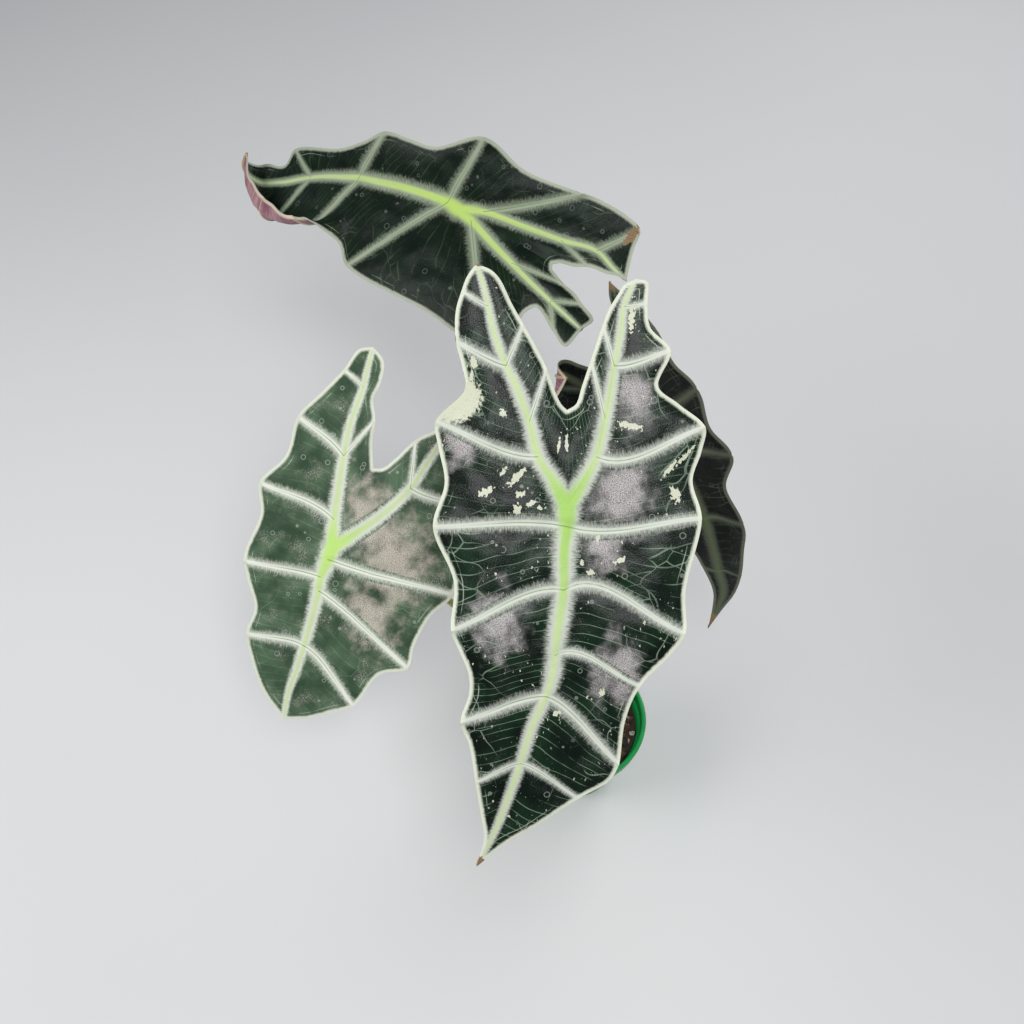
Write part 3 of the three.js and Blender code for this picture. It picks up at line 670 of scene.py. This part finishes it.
# %% The upper face's finish, from the lamina outwards
def leaf_face(name, look):
    """Coats of colour, then the gloss and the fine relief."""
    skin = Finish(name, 0.3, Specular_IOR_Level=0.12)
    along, _, _, flat = skin.attribute("flat")
    u, t = skin.attribute("cell")[:2]
    main, side, margin = skin.attribute("near")[:3]
    hair = skin.attribute("hair")[3]
    fray = (skin.cloud(skin.moved(hair, scale=(2.2, 0.5, 1)), 1.0, 3) - 0.5) * 1.9
    grain = skin.cloud(flat, 1.7, 5)
    broad = skin.cloud(flat, 0.075, 3)
    wander = (skin.cloud(flat, 0.05, 1) - 0.5) * look["wander"]

    skin.coat(broad.rise(0.35, 0.7), look["green"], ground=look["deep"])
    threads = thin_veins(skin, flat, u, t, broad, wander, look)
    skin.coat(threads, look["thread"])
    film, bloom = dust_sheen_and_glare(skin, flat, main, side, grain, look)
    # A dusty film that is partly a painted sheen.
    skin.coat(film, look["film_tint"])
    # Painted glare on the bulges, in a pale pinkish tint.
    skin.coat(bloom, look["bloom_tint"])
    drops = dried_drops(skin, flat) * look["drops"]
    skin.coat(drops, look["drop_tint"])

    silver = silver_veins(skin, main, side, fray)
    skin.coat(silver, look["silver"])
    skin.coat(main.rise(0.8, 0.2) * 0.75, look["rib"])
    skin.coat(lime_heart(skin, flat, along, main, look), look["heart"])
    line = side.rise(0.2, 0.06) * t.rise(0.85, 0.3)
    skin.coat(line * 0.7, look["line"])

    edge = (margin + fray * 0.5).rise(1.9, 0.7)
    inner = line_at(skin, margin + wander * 2, 3.1, 0.14) * 0.45
    inner = inner * broad.rise(0.5, 0.62)
    skin.coat(skin.most(edge, inner), look["margin"])

    ragged = (skin.cloud(flat, 0.85, 5) - 0.5) * 3.4
    skin.coat(cream_marks(skin, flat, ragged, grain, look), look["fleck_tint"])
    dry = marks(skin, flat, look["dry"], ragged * 0.6)
    skin.coat(dry, skin.blend(grain, tint(74, 52, 34), tint(166, 138, 104)))

    matt = skin.most(silver * 0.25, film * 0.14, dry * 0.4)
    skin.rough(matt + look["gloss"] + (grain - 0.5) * 0.16)
    raised = silver * 0.5 + threads * 0.5
    skin.relief(raised + grain * 0.5, 0.35, 0.0006)
    return skin.material


# %% [markdown]
# ## The underside of a leaf
# Where the back leaf's edge rolls over, its underside shows: mauve, darker between the veins,
# with pale ribs. The same distances to the veins draw it.

# %% The underside's finish
def leaf_underside():
    skin = Finish("leaf_underside", 0.42)
    flat = skin.attribute("flat")[3]
    u = skin.attribute("cell")[0]
    main, side, margin = skin.attribute("near")[:3]
    grain = skin.cloud(flat, 1.4, 5)
    broad = skin.cloud(flat, 0.09, 3)
    skin.coat(broad.rise(0.3, 0.7), tint(120, 70, 88), ground=tint(172, 128, 134))
    step = skin.maths("FRACT", u * 3 + broad * 2.5)
    stripes = line_at(skin, step, 0.5, 0.16) * 0.45
    skin.coat(stripes, tint(84, 42, 58))
    nets = skin.cells(skin.moved(flat, scale=(0.35, 0.35, 1)), 1.0, "DISTANCE_TO_EDGE")[0]
    skin.coat(nets.rise(0.05, 0.015) * 0.4, tint(176, 138, 146))
    ribs = skin.most(side.rise(0.9, 0.35), main.rise(0.95, 0.5))
    skin.coat(ribs, tint(172, 160, 118))
    skin.coat(margin.rise(1.8, 0.8), tint(204, 190, 170))
    skin.coat(grain * 0.25, tint(120, 84, 88))
    skin.rough(0.32 + grain * 0.25)
    skin.relief(grain + nets.rise(0.0, 0.1), 0.4, 0.0005)
    return skin.material


# %% How the four leaves look
BASE_LOOK = {
    "deep": tint(10, 20, 14), "green": tint(20, 42, 26), "thread": tint(146, 164, 144),
    "silver": tint(206, 210, 198), "heart": tint(152, 194, 88), "heart_reach": 62,
    "rib": tint(188, 206, 146), "lobe_share": 0.25, "line": tint(96, 128, 70), "flakes": 0,
    # The glare tint paints highlights; the film tint is a dusty grey that partly paints a sheen.
    "patch": (), "bloom": (), "bloom_tint": tint(206, 198, 198), "film_tint": tint(150, 140, 146),
    "margin": tint(206, 210, 192), "fleck_tint": tint(196, 198, 176),
    "threads": 0.5, "arcs": 3.6, "wander": 1.4, "drops": 0.45, "drop_tint": tint(150, 162, 148),
    "gloss": 0.26, "flecks": (), "dry": (),
}
LOOKS = {
    "front": BASE_LOOK | {
        "flecks": (
            (-5, -28, 1.2, 2.6, 30), (-10, -17.5, 1.1, 4, 42), (-4.3, -16.3, 1, 1.6, 0),
            (1, -17.3, 1.9, 1.2, 10), (-49, -32, 2, 1.2, 20),
            (-44, -33, 2.6, 0.7, -15), (-32, -22, 1.4, 1, 30), (-27.5, 21.7, 1.1, 3.8, -12),
            (-64, 21.7, 5, 0.9, -3), (-13, 35, 0.7, 3.4, 52), (-17, 40, 0.6, 4.6, 48),
            (-4.3, 37, 2.6, 1.5, 25), (-21, -2.9, 3, 0.45, -8), (-21.8, -0.2, 3.6, 0.5, 0),
            (11, 10.7, 1.2, 0.7, 0), (22.7, 8, 1.1, 1.2, 0), (18.6, 18, 0.7, 2.4, 25),
            (73, -3.2, 1, 1.1, 0), (65, 12.7, 1.3, 1, 0), (-12, -22, 0.8, 1.4, 60),
            (-1, -12.4, 0.8, 1.5, 20), (0.5, -9.5, 0.7, 0.9, 0), (19.5, 5.2, 0.8, 0.9, 0),
        ),
        "dry": ((-83, -31, 2, 3, 0), (-78, 19, 1.4, 1.4, 0), (131, -31, 2.2, 2, 0),
                (-62, -39, 14, 0.7, 3)),
        # Places of painted glare on the front leaf's bulges.
        "bloom": ((-4, 18, 12, 8, 0), (13, 13, 8, 5, 0), (-20, -37, 5, 4, 0), (40, -24, 9, 7, 0),
                  (58, 18, 10, 6, 0), (-38, 22, 8, 5, 20)),
        "patch": ((-36, -38, 7, 9, 20),), "flakes": 0.9, "film": 0.1,
    },
    # The left leaf's strong pale film paints a whitish sheen over the leaf, and its glare patches
    # are painted highlights.
    "left": BASE_LOOK | {
        "deep": tint(50, 70, 52), "green": tint(82, 104, 80), "silver": tint(222, 226, 212),
        "heart_reach": 30, "lobe_share": 0.4, "film": 0.65, "film_tint": tint(176, 174, 160),
        "threads": 0.25, "gloss": 0.3, "drops": 0.6,
        "heart": tint(178, 216, 110), "bloom_tint": tint(222, 208, 196),
        "bloom": ((-16, 14, 12, 9, 20), (0, 27, 16, 12, 0), (26, 20, 12, 7, 30)),
    },
    "back": BASE_LOOK | {
        "deep": tint(9, 20, 13), "green": tint(17, 34, 19), "silver": tint(150, 160, 138),
        "heart": tint(172, 200, 98), "heart_reach": 85, "lobe_share": 0.8, "film": 0.06,
        "margin": tint(158, 164, 146), "drops": 0.22, "threads": 0.1, "gloss": 0.3,
        "dry": ((-79, -6, 5, 1.6, 60), (-75, 35, 1.6, 1.6, 0), (137, 6, 3, 3, 0)),
    },
    # The right leaf is a shaded copy of the others: its greens, silver veins, heart, rib and margin
    # are darkened as painted shade, for it lies in shade behind the front leaf.
    "right": BASE_LOOK | {
        "deep": tint(8, 12, 10), "green": tint(12, 21, 14), "silver": tint(84, 90, 76),
        "heart": tint(84, 100, 56), "film": 0.08, "margin": tint(92, 96, 82), "drops": 0.1,
        "rib": tint(84, 96, 66), "threads": 0.12, "gloss": 0.36,
        "dry": ((114, -21, 9, 6, 0), (-72, 14, 3, 3, 0), (-49, -30, 3, 3, 0)),
    },
}
print("looks:", list(LOOKS))

# %% [markdown]
# ## Making a blade
# Each strip starts as a flat grid. Its points are mapped onto the plan, swollen between the side
# veins, sunk along them, and carried into the air. The six strips are joined, their shared points
# are merged, and a Solidify modifier gives the blade its thickness downwards. A vertex group makes
# it thick under the veins, which is how the ribs of the underside arise.

# %% The height and thickness of a blade
ACROSS = 38
THICKEST = 3.2
THINNEST = 0.5
FULL_SWELL_WIDTH = 30
MAIN_RIDGE, SIDE_RIDGE, SIDE_FURROW = 0.55, 0.12, 0.25
MARGIN_BEAD = 0.16
MAIN_RIB, SIDE_RIB = 2.4, 0.8


def bell(away, width):
    """1 at no distance, falling smoothly to 0 over about two widths."""
    return np.exp(-((away / width) ** 2))


def blade_relief(leaf, strip, numbers, shares, width, plan, main, side, margin):
    """How far the upper face stands off the plan, and how thick the blade is, in millimetres."""
    vein, strength_at = strip[:2]
    rows = leaf[vein]
    k = np.clip(numbers.astype(int), 0, len(rows) - 2)
    s = numbers - k
    strength = np.array([row[strength_at] for row in rows], float)
    sunk = strength[k] * (1 - s) ** 3 + strength[k + 1] * s**3
    domed = 1 - sunk
    quilting = leaf["quilt"] * domed * (1 - (1 - shares) ** 3) * (1 - shares**4)
    waving = leaf["wave"] * (0.5 - domed) * shares**3
    narrow = np.minimum(1, width / FULL_SWELL_WIDTH)
    uneven = np.array([noise.noise((a * 0.13, b * 0.13, 3.0)) for a, b in plan])
    puckered = np.array([noise.noise((a * 0.4, b * 0.4, 9.0)) for a, b in plan])
    inland = 1 - bell(margin.away, 4)
    height = (quilting + waving) * narrow + (0.5 * uneven + 0.12 * puckered) * inland * narrow
    taper = main.half_width / MIDRIB_HALF_WIDTH
    height += MAIN_RIDGE * taper * bell(main.away, 0.55 * main.half_width)
    height += SIDE_RIDGE * bell(side.away, 0.45) - SIDE_FURROW * bell(side.away, 1.5)
    height += MARGIN_BEAD * bell(margin.away, 0.9)
    thickness = THINNEST + MAIN_RIB * taper * bell(main.away, 0.5 * main.half_width)
    thickness += SIDE_RIB * np.minimum(1, side.half_width) * bell(side.away, 0.9) * inland
    return height, np.minimum(thickness, THICKEST)


# %% One strip from a grid
MAIN_HAIRS_APART = 300


def strip_numbers(leaf, vein):
    """Station numbers for the rows of a grid, closer together where the stations are far apart."""
    rows = leaf[vein]
    numbers = [0.0]
    for k in range(len(rows) - 1):
        here, ahead = rows[k], rows[k + 1]
        stretch = max(math.dist(here[i:i + 2], ahead[i:i + 2]) for i in (0, 2, 5))
        count = max(4, round(stretch / leaf["fineness"]))
        numbers.extend(k + (np.arange(count) + 1) / count)
    return np.array(numbers)


def edit(operator, **options):
    """Runs an operator of Edit Mode on the whole of the active mesh."""
    bpy.ops.object.mode_set(mode="EDIT")
    bpy.ops.mesh.select_all(action="SELECT")
    operator(**options)
    bpy.ops.object.mode_set(mode="OBJECT")


def grid(rows, columns):
    """Adds a flat grid. For each point it tells the row and the share of the way across."""
    bpy.ops.mesh.primitive_grid_add(x_subdivisions=rows - 1, y_subdivisions=columns, size=2)
    sheet = bpy.context.object
    flat = np.empty(len(sheet.data.vertices) * 3)
    sheet.data.vertices.foreach_get("co", flat)
    flat = (flat.reshape(-1, 3) + 1) / 2
    return sheet, np.rint(flat[:, 0] * (rows - 1)).astype(int), flat[:, 1]


def carry(mesh, name, values):
    """Stores three numbers for every face corner, so that strips can be joined without mixing."""
    loops = np.empty(len(mesh.loops), int)
    mesh.loops.foreach_get("vertex_index", loops)
    made = mesh.attributes.new(name, "FLOAT_VECTOR", "CORNER")
    made.data.foreach_set("vector", np.ascontiguousarray(values[loops], np.float32).ravel())


def leaf_strip(leaf, strip, lines):
    """One strip in the air, with its points closer together near the vein and the margin."""
    vein, _, _, _, on_left = strip
    numbers = strip_numbers(leaf, vein)
    sheet, row, even = grid(len(numbers), ACROSS)
    even = np.rint(even * ACROSS) / ACROSS
    numbers, shares = numbers[row], 0.5 * even + 0.25 * (1 - np.cos(np.pi * even))
    plan, width = ray_places(leaf, strip, numbers, shares)
    main, side, margin = (near_lines(plan, kind) for kind in lines)
    height, thickness = blade_relief(leaf, strip, numbers, shares, width, plan, main, side, margin)
    place = leaf_place(leaf, plan) + leaf_normal(leaf, plan) * height[:, None]
    mesh = sheet.data
    mesh.vertices.foreach_set("co", (place * MM).ravel())
    nothing = np.zeros(len(plan))
    carry(mesh, "flat", np.column_stack([plan, nothing]))
    carry(mesh, "cell", np.column_stack([numbers, shares, nothing]))
    carry(mesh, "near", np.column_stack([main.halves, side.halves, margin.halves]))
    by_side = side.halves < main.halves
    carry(mesh, "hair", np.column_stack([
        np.where(by_side, side.along, main.along + MAIN_HAIRS_APART),
        np.where(by_side, side.away, main.away), nothing]))
    group = sheet.vertex_groups.new(name="thickness")
    for i, value in enumerate(thickness / THICKEST):
        group.add([i], float(value), "REPLACE")
    if not on_left:
        edit(bpy.ops.mesh.flip_normals)
    return sheet


# %% Joining, thickening and finishing
def choose(active, others=()):
    """Selects some objects and nothing else, one of them active, as most operators want it."""
    bpy.ops.object.select_all(action="DESELECT")
    for piece in (active, *others):
        piece.select_set(True)
    bpy.context.view_layer.objects.active = active


def join(pieces, name):
    choose(pieces[0], pieces[1:])
    bpy.ops.object.join()
    bpy.context.object.name = name
    bpy.context.object.data.name = name
    return bpy.context.object


def merge(piece, within):
    """Merges points that lie at the same place, along seams and between joined sheets."""
    choose(piece)
    edit(bpy.ops.mesh.remove_doubles, threshold=within)


def place_in_mesh(piece):
    choose(piece)
    bpy.ops.object.transform_apply(location=True, rotation=True, scale=True)


def stand_for(piece, node):
    """The piece rides on the plant's one body and takes over from a node of the frame."""
    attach(piece, "root")
    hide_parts(node)
    print(f"{piece.name}: {len(piece.data.polygons)} faces, stands for {node}")


# %% Make the four blades
UNDERSIDE = leaf_underside()
for name, leaf in LEAVES.items():
    lines = vein_lines(leaf)
    sheets = [leaf_strip(leaf, strip, lines) for strip in leaf_strips(leaf)]
    blade = join(sheets, f"leaf_{name}")
    merge(blade, within=2e-5)
    blade.data.materials.append(leaf_face(f"leaf_{name}_face", LOOKS[name]))
    blade.data.materials.append(UNDERSIDE)
    solid = blade.modifiers.new("thickness", "SOLIDIFY")
    solid.thickness = THICKEST * MM
    solid.offset = -1
    solid.vertex_group = "thickness"
    solid.material_offset = 1
    bpy.ops.object.modifier_apply(modifier=solid.name)
    bpy.ops.object.shade_smooth_by_angle(angle=math.radians(55))
    stand_for(blade, f"blade_{name}")

# %% [markdown]
# ## The leaf stalks
# A stalk is a fleshy tube: stout and sheathed where it leaves the crown, slim and straight higher
# up, and bent over just under the blade. It is a flat grid again, rolled round a smooth path. The
# two ends are drawn together to a point, so the tube is closed once its seam is merged.

# %% The path of a stalk
CROWN_HEIGHT = 39.3
CROWN_RING_RADIUS = 4.9
STRAIGHT_RISE = 16
STALK_END_DEPTH = 2
BEND_DEPTH, BEND_BACK = 17.3, 5


def stalk_path(leaf, count):
    """Evenly spaced places from the crown to the underside of the blade, in millimetres."""
    along, _, up = leaf_axes(leaf)
    turn = math.radians(leaf["crown"])
    x, y = CROWN_RING_RADIUS * math.cos(turn), CROWN_RING_RADIUS * math.sin(turn)
    end = np.array(leaf["junction"]) - up * STALK_END_DEPTH
    before = end - up * BEND_DEPTH - along * BEND_BACK
    lean_x, lean_y = leaf["lean"]
    rise = before[2] - CROWN_HEIGHT
    places = [
        (x, y, CROWN_HEIGHT),
        (x, y, CROWN_HEIGHT + STRAIGHT_RISE),
        (x + (lean_x - x) * 0.25, y + (lean_y - y) * 0.25, CROWN_HEIGHT + rise * 0.36),
        (lean_x, lean_y, CROWN_HEIGHT + rise * 0.7),
        before, end - up * 4.3, end,
    ]
    fine = smooth_line(places)(np.linspace(0, len(places) - 1, 400))
    length = np.concatenate([[0], np.cumsum(np.linalg.norm(np.diff(fine, axis=0), axis=1))])
    even = np.linspace(0, length[-1], count)
    return np.column_stack([np.interp(even, length, fine[:, i]) for i in range(3)]), even


# %% A grid rolled round a path
GROOVE_WIDTH = 0.45


def tube(name, path, radii, around, groove=None):
    """A closed tube along a path, in millimetres. The groove narrows it on one side."""
    piece, row, share = grid(len(path), around)
    piece.name = piece.data.name = name
    angle = share * 2 * np.pi
    runs = np.gradient(path, axis=0)
    runs /= np.linalg.norm(runs, axis=1)[:, None]
    sides = [np.array([1.0, 0, 0])]
    for run in runs:
        side = sides[-1] - run * (sides[-1] @ run)
        sides.append(side / np.linalg.norm(side))
    sides = np.array(sides[1:])
    others = np.cross(runs, sides)
    reach = radii[row]
    if groove is not None:
        reach = reach * (1 - groove[row] * bell(angle - np.pi, GROOVE_WIDTH))
    place = (path[row] + sides[row] * (reach * np.cos(angle))[:, None]
             + others[row] * (reach * np.sin(angle))[:, None])
    piece.data.vertices.foreach_set("co", (place * MM).ravel())
    merge(piece, within=2e-6)
    edit(bpy.ops.mesh.normals_make_consistent, inside=False)
    bpy.ops.object.shade_smooth()
    return piece


# %% The stalks' skin
def stalk_skin():
    skin = Finish("stalk_skin", 0.4)
    place = skin.object_place()
    streaks = skin.cloud(skin.moved(place, scale=(900, 900, 70)), 1.0, 4)
    blotches = skin.cloud(skin.moved(place, scale=(420, 420, 190)), 1.0, 3)
    height = skin.apart(place)[2]
    low = height.rise(0.17, 0.06)
    skin.coat(streaks.rise(0.3, 0.7), tint(182, 190, 128), ground=tint(150, 166, 96))
    mottled = blotches.rise(0.5, 0.6) * (low * 0.55 + 0.25)
    skin.coat(mottled, tint(104, 62, 48))
    skin.coat(low * 0.25, tint(188, 176, 150))
    skin.rough(0.3 + streaks * 0.25)
    skin.relief(streaks, 0.35, 0.0004)
    return skin.material


# %% Make the stalks
STALK_RADIUS = 1.75
SHEATH_EXTRA, SHEATH_WHOLE, SHEATH_FADE = 1.3, 0.05, 0.35
NECK_EXTRA, NECK_LENGTH = 0.25, 6
STALK_SKIN = stalk_skin()
for name, leaf in LEAVES.items():
    path, length = stalk_path(leaf, count=110)
    share = length / length[-1]
    sheath = 1 - smooth_step((share - SHEATH_WHOLE) / SHEATH_FADE)
    neck = bell(length[-1] - length, NECK_LENGTH)
    radii = STALK_RADIUS + SHEATH_EXTRA * sheath + NECK_EXTRA * neck
    radii[0] = radii[-1] = 0
    stalk = tube(f"leaf_stalk_{name}", path, radii, around=20, groove=0.1 + 0.22 * sheath)
    stalk.data.materials.append(STALK_SKIN)
    stand_for(stalk, f"stalk_{name}")

# %% [markdown]
# ## The nursery pot
# A nursery pot is blown or pressed from thin plastic: a tapering wall, a stepped band under the
# rim, a small rolled lip and drain holes in the floor. As it is round, it is drawn ring by ring:
# a disc is extruded along its border and each new ring is resized to its radius. The last ring is
# the inside floor.

# %% Ring by ring
def ringed(name, rings, around):
    """A closed round body from (radius, height) rings in millimetres, its two ends filled in."""
    radius, height = rings[0]
    bpy.ops.mesh.primitive_circle_add(vertices=around, radius=radius * MM, fill_type="NGON",
                                      location=(0, 0, height * MM))
    piece = bpy.context.object
    piece.name = piece.data.name = name
    bpy.ops.object.transform_apply(location=True, rotation=True, scale=True)
    bpy.ops.object.mode_set(mode="EDIT")
    bpy.ops.mesh.select_all(action="SELECT")
    for wide, high in rings[1:]:
        lift = (0, 0, (high - height) * MM)
        bpy.ops.mesh.extrude_region_move(TRANSFORM_OT_translate={"value": lift})
        grow = wide / radius
        bpy.ops.transform.resize(value=(grow, grow, 1), center_override=(0, 0, high * MM))
        radius, height = wide, high
    bpy.ops.object.mode_set(mode="OBJECT")
    edit(bpy.ops.mesh.normals_make_consistent, inside=False)
    return piece


POT_RINGS = [
    (19.5, 1), (20, 0.3), (20.8, 0), (22.2, 0.2), (22.9, 1), (23.2, 2.2), (25.2, 12), (27.3, 24),
    (29.4, 36), (31.3, 47.4), (31.7, 48), (32.7, 48.3), (33.1, 48.8), (33.1, 54.4), (33.5, 55),
    (34, 55.5), (34, 56.4), (33.8, 56.8), (33.3, 57), (32.5, 57), (32, 56.7), (31.7, 56.1),
    (31.6, 50.3), (30.6, 49.5), (30.2, 48.6), (28, 36), (25.9, 24), (23.8, 12), (22, 2.6),
    (21.4, 1.8),
]
pot = ringed("nursery_pot", POT_RINGS, around=128)
print("the pot's body has", len(pot.data.polygons), "faces")

# %% Cut the drain holes
DRAIN_HOLES = 8
DRAIN_HOLE_RADIUS = 0.0026
DRAIN_CIRCLE_RADIUS = 0.0165

drills = []
for i in range(DRAIN_HOLES):
    turn = 2 * math.pi / DRAIN_HOLES * i
    place = (DRAIN_CIRCLE_RADIUS * math.cos(turn), DRAIN_CIRCLE_RADIUS * math.sin(turn), 0.001)
    bpy.ops.mesh.primitive_cylinder_add(vertices=32, radius=DRAIN_HOLE_RADIUS, depth=0.008,
                                        location=place)
    drills.append(bpy.context.object)
drill = join(drills, "drain_drills")
place_in_mesh(drill)
cut = pot.modifiers.new("drain_holes", "BOOLEAN")
cut.object = drill
cut.operation = "DIFFERENCE"
cut.solver = "EXACT"
choose(pot)
bpy.ops.object.modifier_apply(modifier=cut.name)
bpy.data.objects.remove(drill)
bpy.ops.object.shade_smooth_by_angle(angle=math.radians(38))


# %% The pot's plastic
def pot_plastic():
    skin = Finish("pot_plastic", 0.34)
    place = skin.object_place()
    flow = skin.cloud(skin.moved(place, scale=(60, 60, 14)), 1.0, 3)
    fine = skin.cloud(place, 1500, 3)
    skin.coat(flow.rise(0.3, 0.7), tint(6, 142, 66), ground=tint(0, 112, 50))
    scratch = skin.cloud(skin.moved(place, turn=20, scale=(140, 140, 2600)), 1.0, 2)
    worn = scratch.rise(0.66, 0.72) * skin.cloud(place, 45, 2).rise(0.45, 0.65)
    skin.coat(worn * 0.4, tint(120, 196, 140))
    height = skin.apart(place)[2]
    dust = skin.cloud(place, 160, 4).rise(0.48, 0.7) * height.rise(0.02, 0.0)
    skin.coat(dust * 0.6, tint(96, 84, 62))
    skin.rough(fine * 0.14 + worn * 0.25 + 0.26)
    skin.relief(fine * 0.4 + flow, 0.25, 0.0004)
    return skin.material


pot.data.materials.append(pot_plastic())
stand_for(pot, "pot")

# %% [markdown]
# ## The potting mix
# The mix is chunky: bark chips, crumbs and white pumice. Its body keeps the hollow for the
# rootstock, so it is a copy of the frame's own solid with its points merged. The loose chips are
# one lump modelled once and copied, and so are the grains of pumice.

# %% The body of the mix
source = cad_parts["soil"]
mix = source.copy()
mix.data = source.data.copy()
mix.parent = None
mix.matrix_world = Matrix.Identity(4)
bpy.context.collection.objects.link(mix)
mix.name = mix.data.name = "potting_mix"
for note in list(mix.keys()):
    del mix[note]
merge(mix, within=1e-6)
print("the mix starts with", len(mix.data.polygons), "faces")


# %% The mix's finish
def bark(name, dark, pale, scale):
    skin = Finish(name, 0.9)
    place = skin.object_place()
    lumps = skin.cloud(place, scale, 5)
    layers = skin.cloud(skin.moved(place, turn=30, scale=(1, 1, 4)), scale * 0.6, 4)
    skin.coat(lumps.rise(0.3, 0.7), pale, ground=dark)
    skin.coat(layers * 0.5, dark)
    skin.rough(0.7 + lumps * 0.25)
    skin.relief(lumps + layers, 0.8, 0.0008)
    return skin.material


mix.data.materials.clear()
# The crumbs are near black-brown and darker than the chips: the bark's own dark brown, deepened as
# painted shade inside the pot.
mix.data.materials.append(bark("bark_crumbs", tint(18, 13, 10), tint(56, 40, 28), 420))
stand_for(mix, "soil")

# %% Chips and pumice on top
MIX_TOP = 47
MIX_HUMP = 2
MIX_RADIUS = 29.5
SCATTER_RADIUS = 28.6
WALL_RADIUS = 29.6
STALKS_RADIUS = 9.2
rng = np.random.default_rng(7)


def chip_model(name, roughness):
    """A small lump: an icosphere whose points are pushed in and out."""
    bpy.ops.mesh.primitive_ico_sphere_add(subdivisions=2, radius=1)
    piece = bpy.context.object
    for vertex in piece.data.vertices:
        vertex.co *= 1 + roughness * noise.noise(vertex.co * 1.3 + Vector((len(name), 0, 0)))
    piece.name = name
    return piece


def mix_height(radius):
    return MIX_TOP + MIX_HUMP * math.cos(math.pi * radius / (2 * MIX_RADIUS))


def scatter(model, name, count, sizes, flatness):
    """Copies of a lump, lying on the mix clear of the stalks, joined into one piece."""
    copies = []
    while len(copies) < count:
        radius, turn = SCATTER_RADIUS * math.sqrt(rng.random()), 2 * math.pi * rng.random()
        x, y = radius * math.cos(turn), radius * math.sin(turn)
        size = sizes[0] + (sizes[1] - sizes[0]) * rng.random() ** 2
        if radius + size > WALL_RADIUS or radius < STALKS_RADIUS + size * 0.6:
            continue
        copy = model.copy()
        copy.data = model.data.copy()
        bpy.context.collection.objects.link(copy)
        copy.scale = [v * size * MM for v in (1, 0.5 + 0.4 * rng.random(), flatness)]
        copy.rotation_euler = (rng.normal() * 0.3, rng.normal() * 0.3, 6.28 * rng.random())
        copy.location = (x * MM, y * MM, (mix_height(radius) + size * flatness * 0.4) * MM)
        copies.append(copy)
    piece = join(copies, name)
    place_in_mesh(piece)
    bpy.data.objects.remove(model)
    return piece


chips = scatter(chip_model("chip", roughness=0.55), "bark_chips",
                count=190, sizes=(1.5, 4.0), flatness=0.34)
chips.data.materials.append(bark("bark_chips", tint(34, 22, 15), tint(92, 62, 40), 260))
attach(chips, "root")
grains = scatter(chip_model("grain", roughness=0.7), "pumice_grains",
                 count=60, sizes=(0.9, 2.0), flatness=0.75)
grains.data.materials.append(bark("pumice", tint(128, 124, 112), tint(190, 186, 172), 700))
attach(grains, "root")
print("chips:", len(chips.data.polygons), "faces; grains:", len(grains.data.polygons), "faces")

# %% [markdown]
# ## The rootstock
# The tuber and its fleshy roots lie inside the mix. The frame's solid has the right shape, so it
# stays and only gets the skin of a root: pale tan with darker rings and fine wrinkles.

# %% The rootstock's skin
def root_skin():
    skin = Finish("root_skin", 0.8)
    place = skin.object_place()
    rings = skin.cloud(skin.moved(place, scale=(60, 60, 900)), 1.0, 4)
    lumps = skin.cloud(place, 300, 4)
    skin.coat(rings, tint(190, 156, 112), ground=tint(96, 66, 40))
    skin.coat(lumps.rise(0.5, 0.75), tint(74, 48, 32))
    skin.rough(0.65 + lumps * 0.25)
    skin.relief(rings + lumps, 0.6, 0.0006)
    return skin.material


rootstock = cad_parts["rootstock"]
skin_of_root = root_skin()
for slot in rootstock.material_slots:
    slot.material = skin_of_root
print("rootstock keeps its solid")

# %% [markdown]
# ## The floor
# A plain pale sheet under the pot. It isn't part of the plant.

# %% Lay the floor
bpy.ops.mesh.primitive_plane_add(size=6, location=(0, 0, -0.0002))
floor = bpy.context.object
floor.name = "studio_floor"
paper = Finish("pale_paper", 0.85)
mottle = paper.cloud(paper.object_place(), 3, 2)
paper.coat(mottle, tint(214, 214, 213), ground=tint(206, 207, 208))
floor.data.materials.append(paper.material)
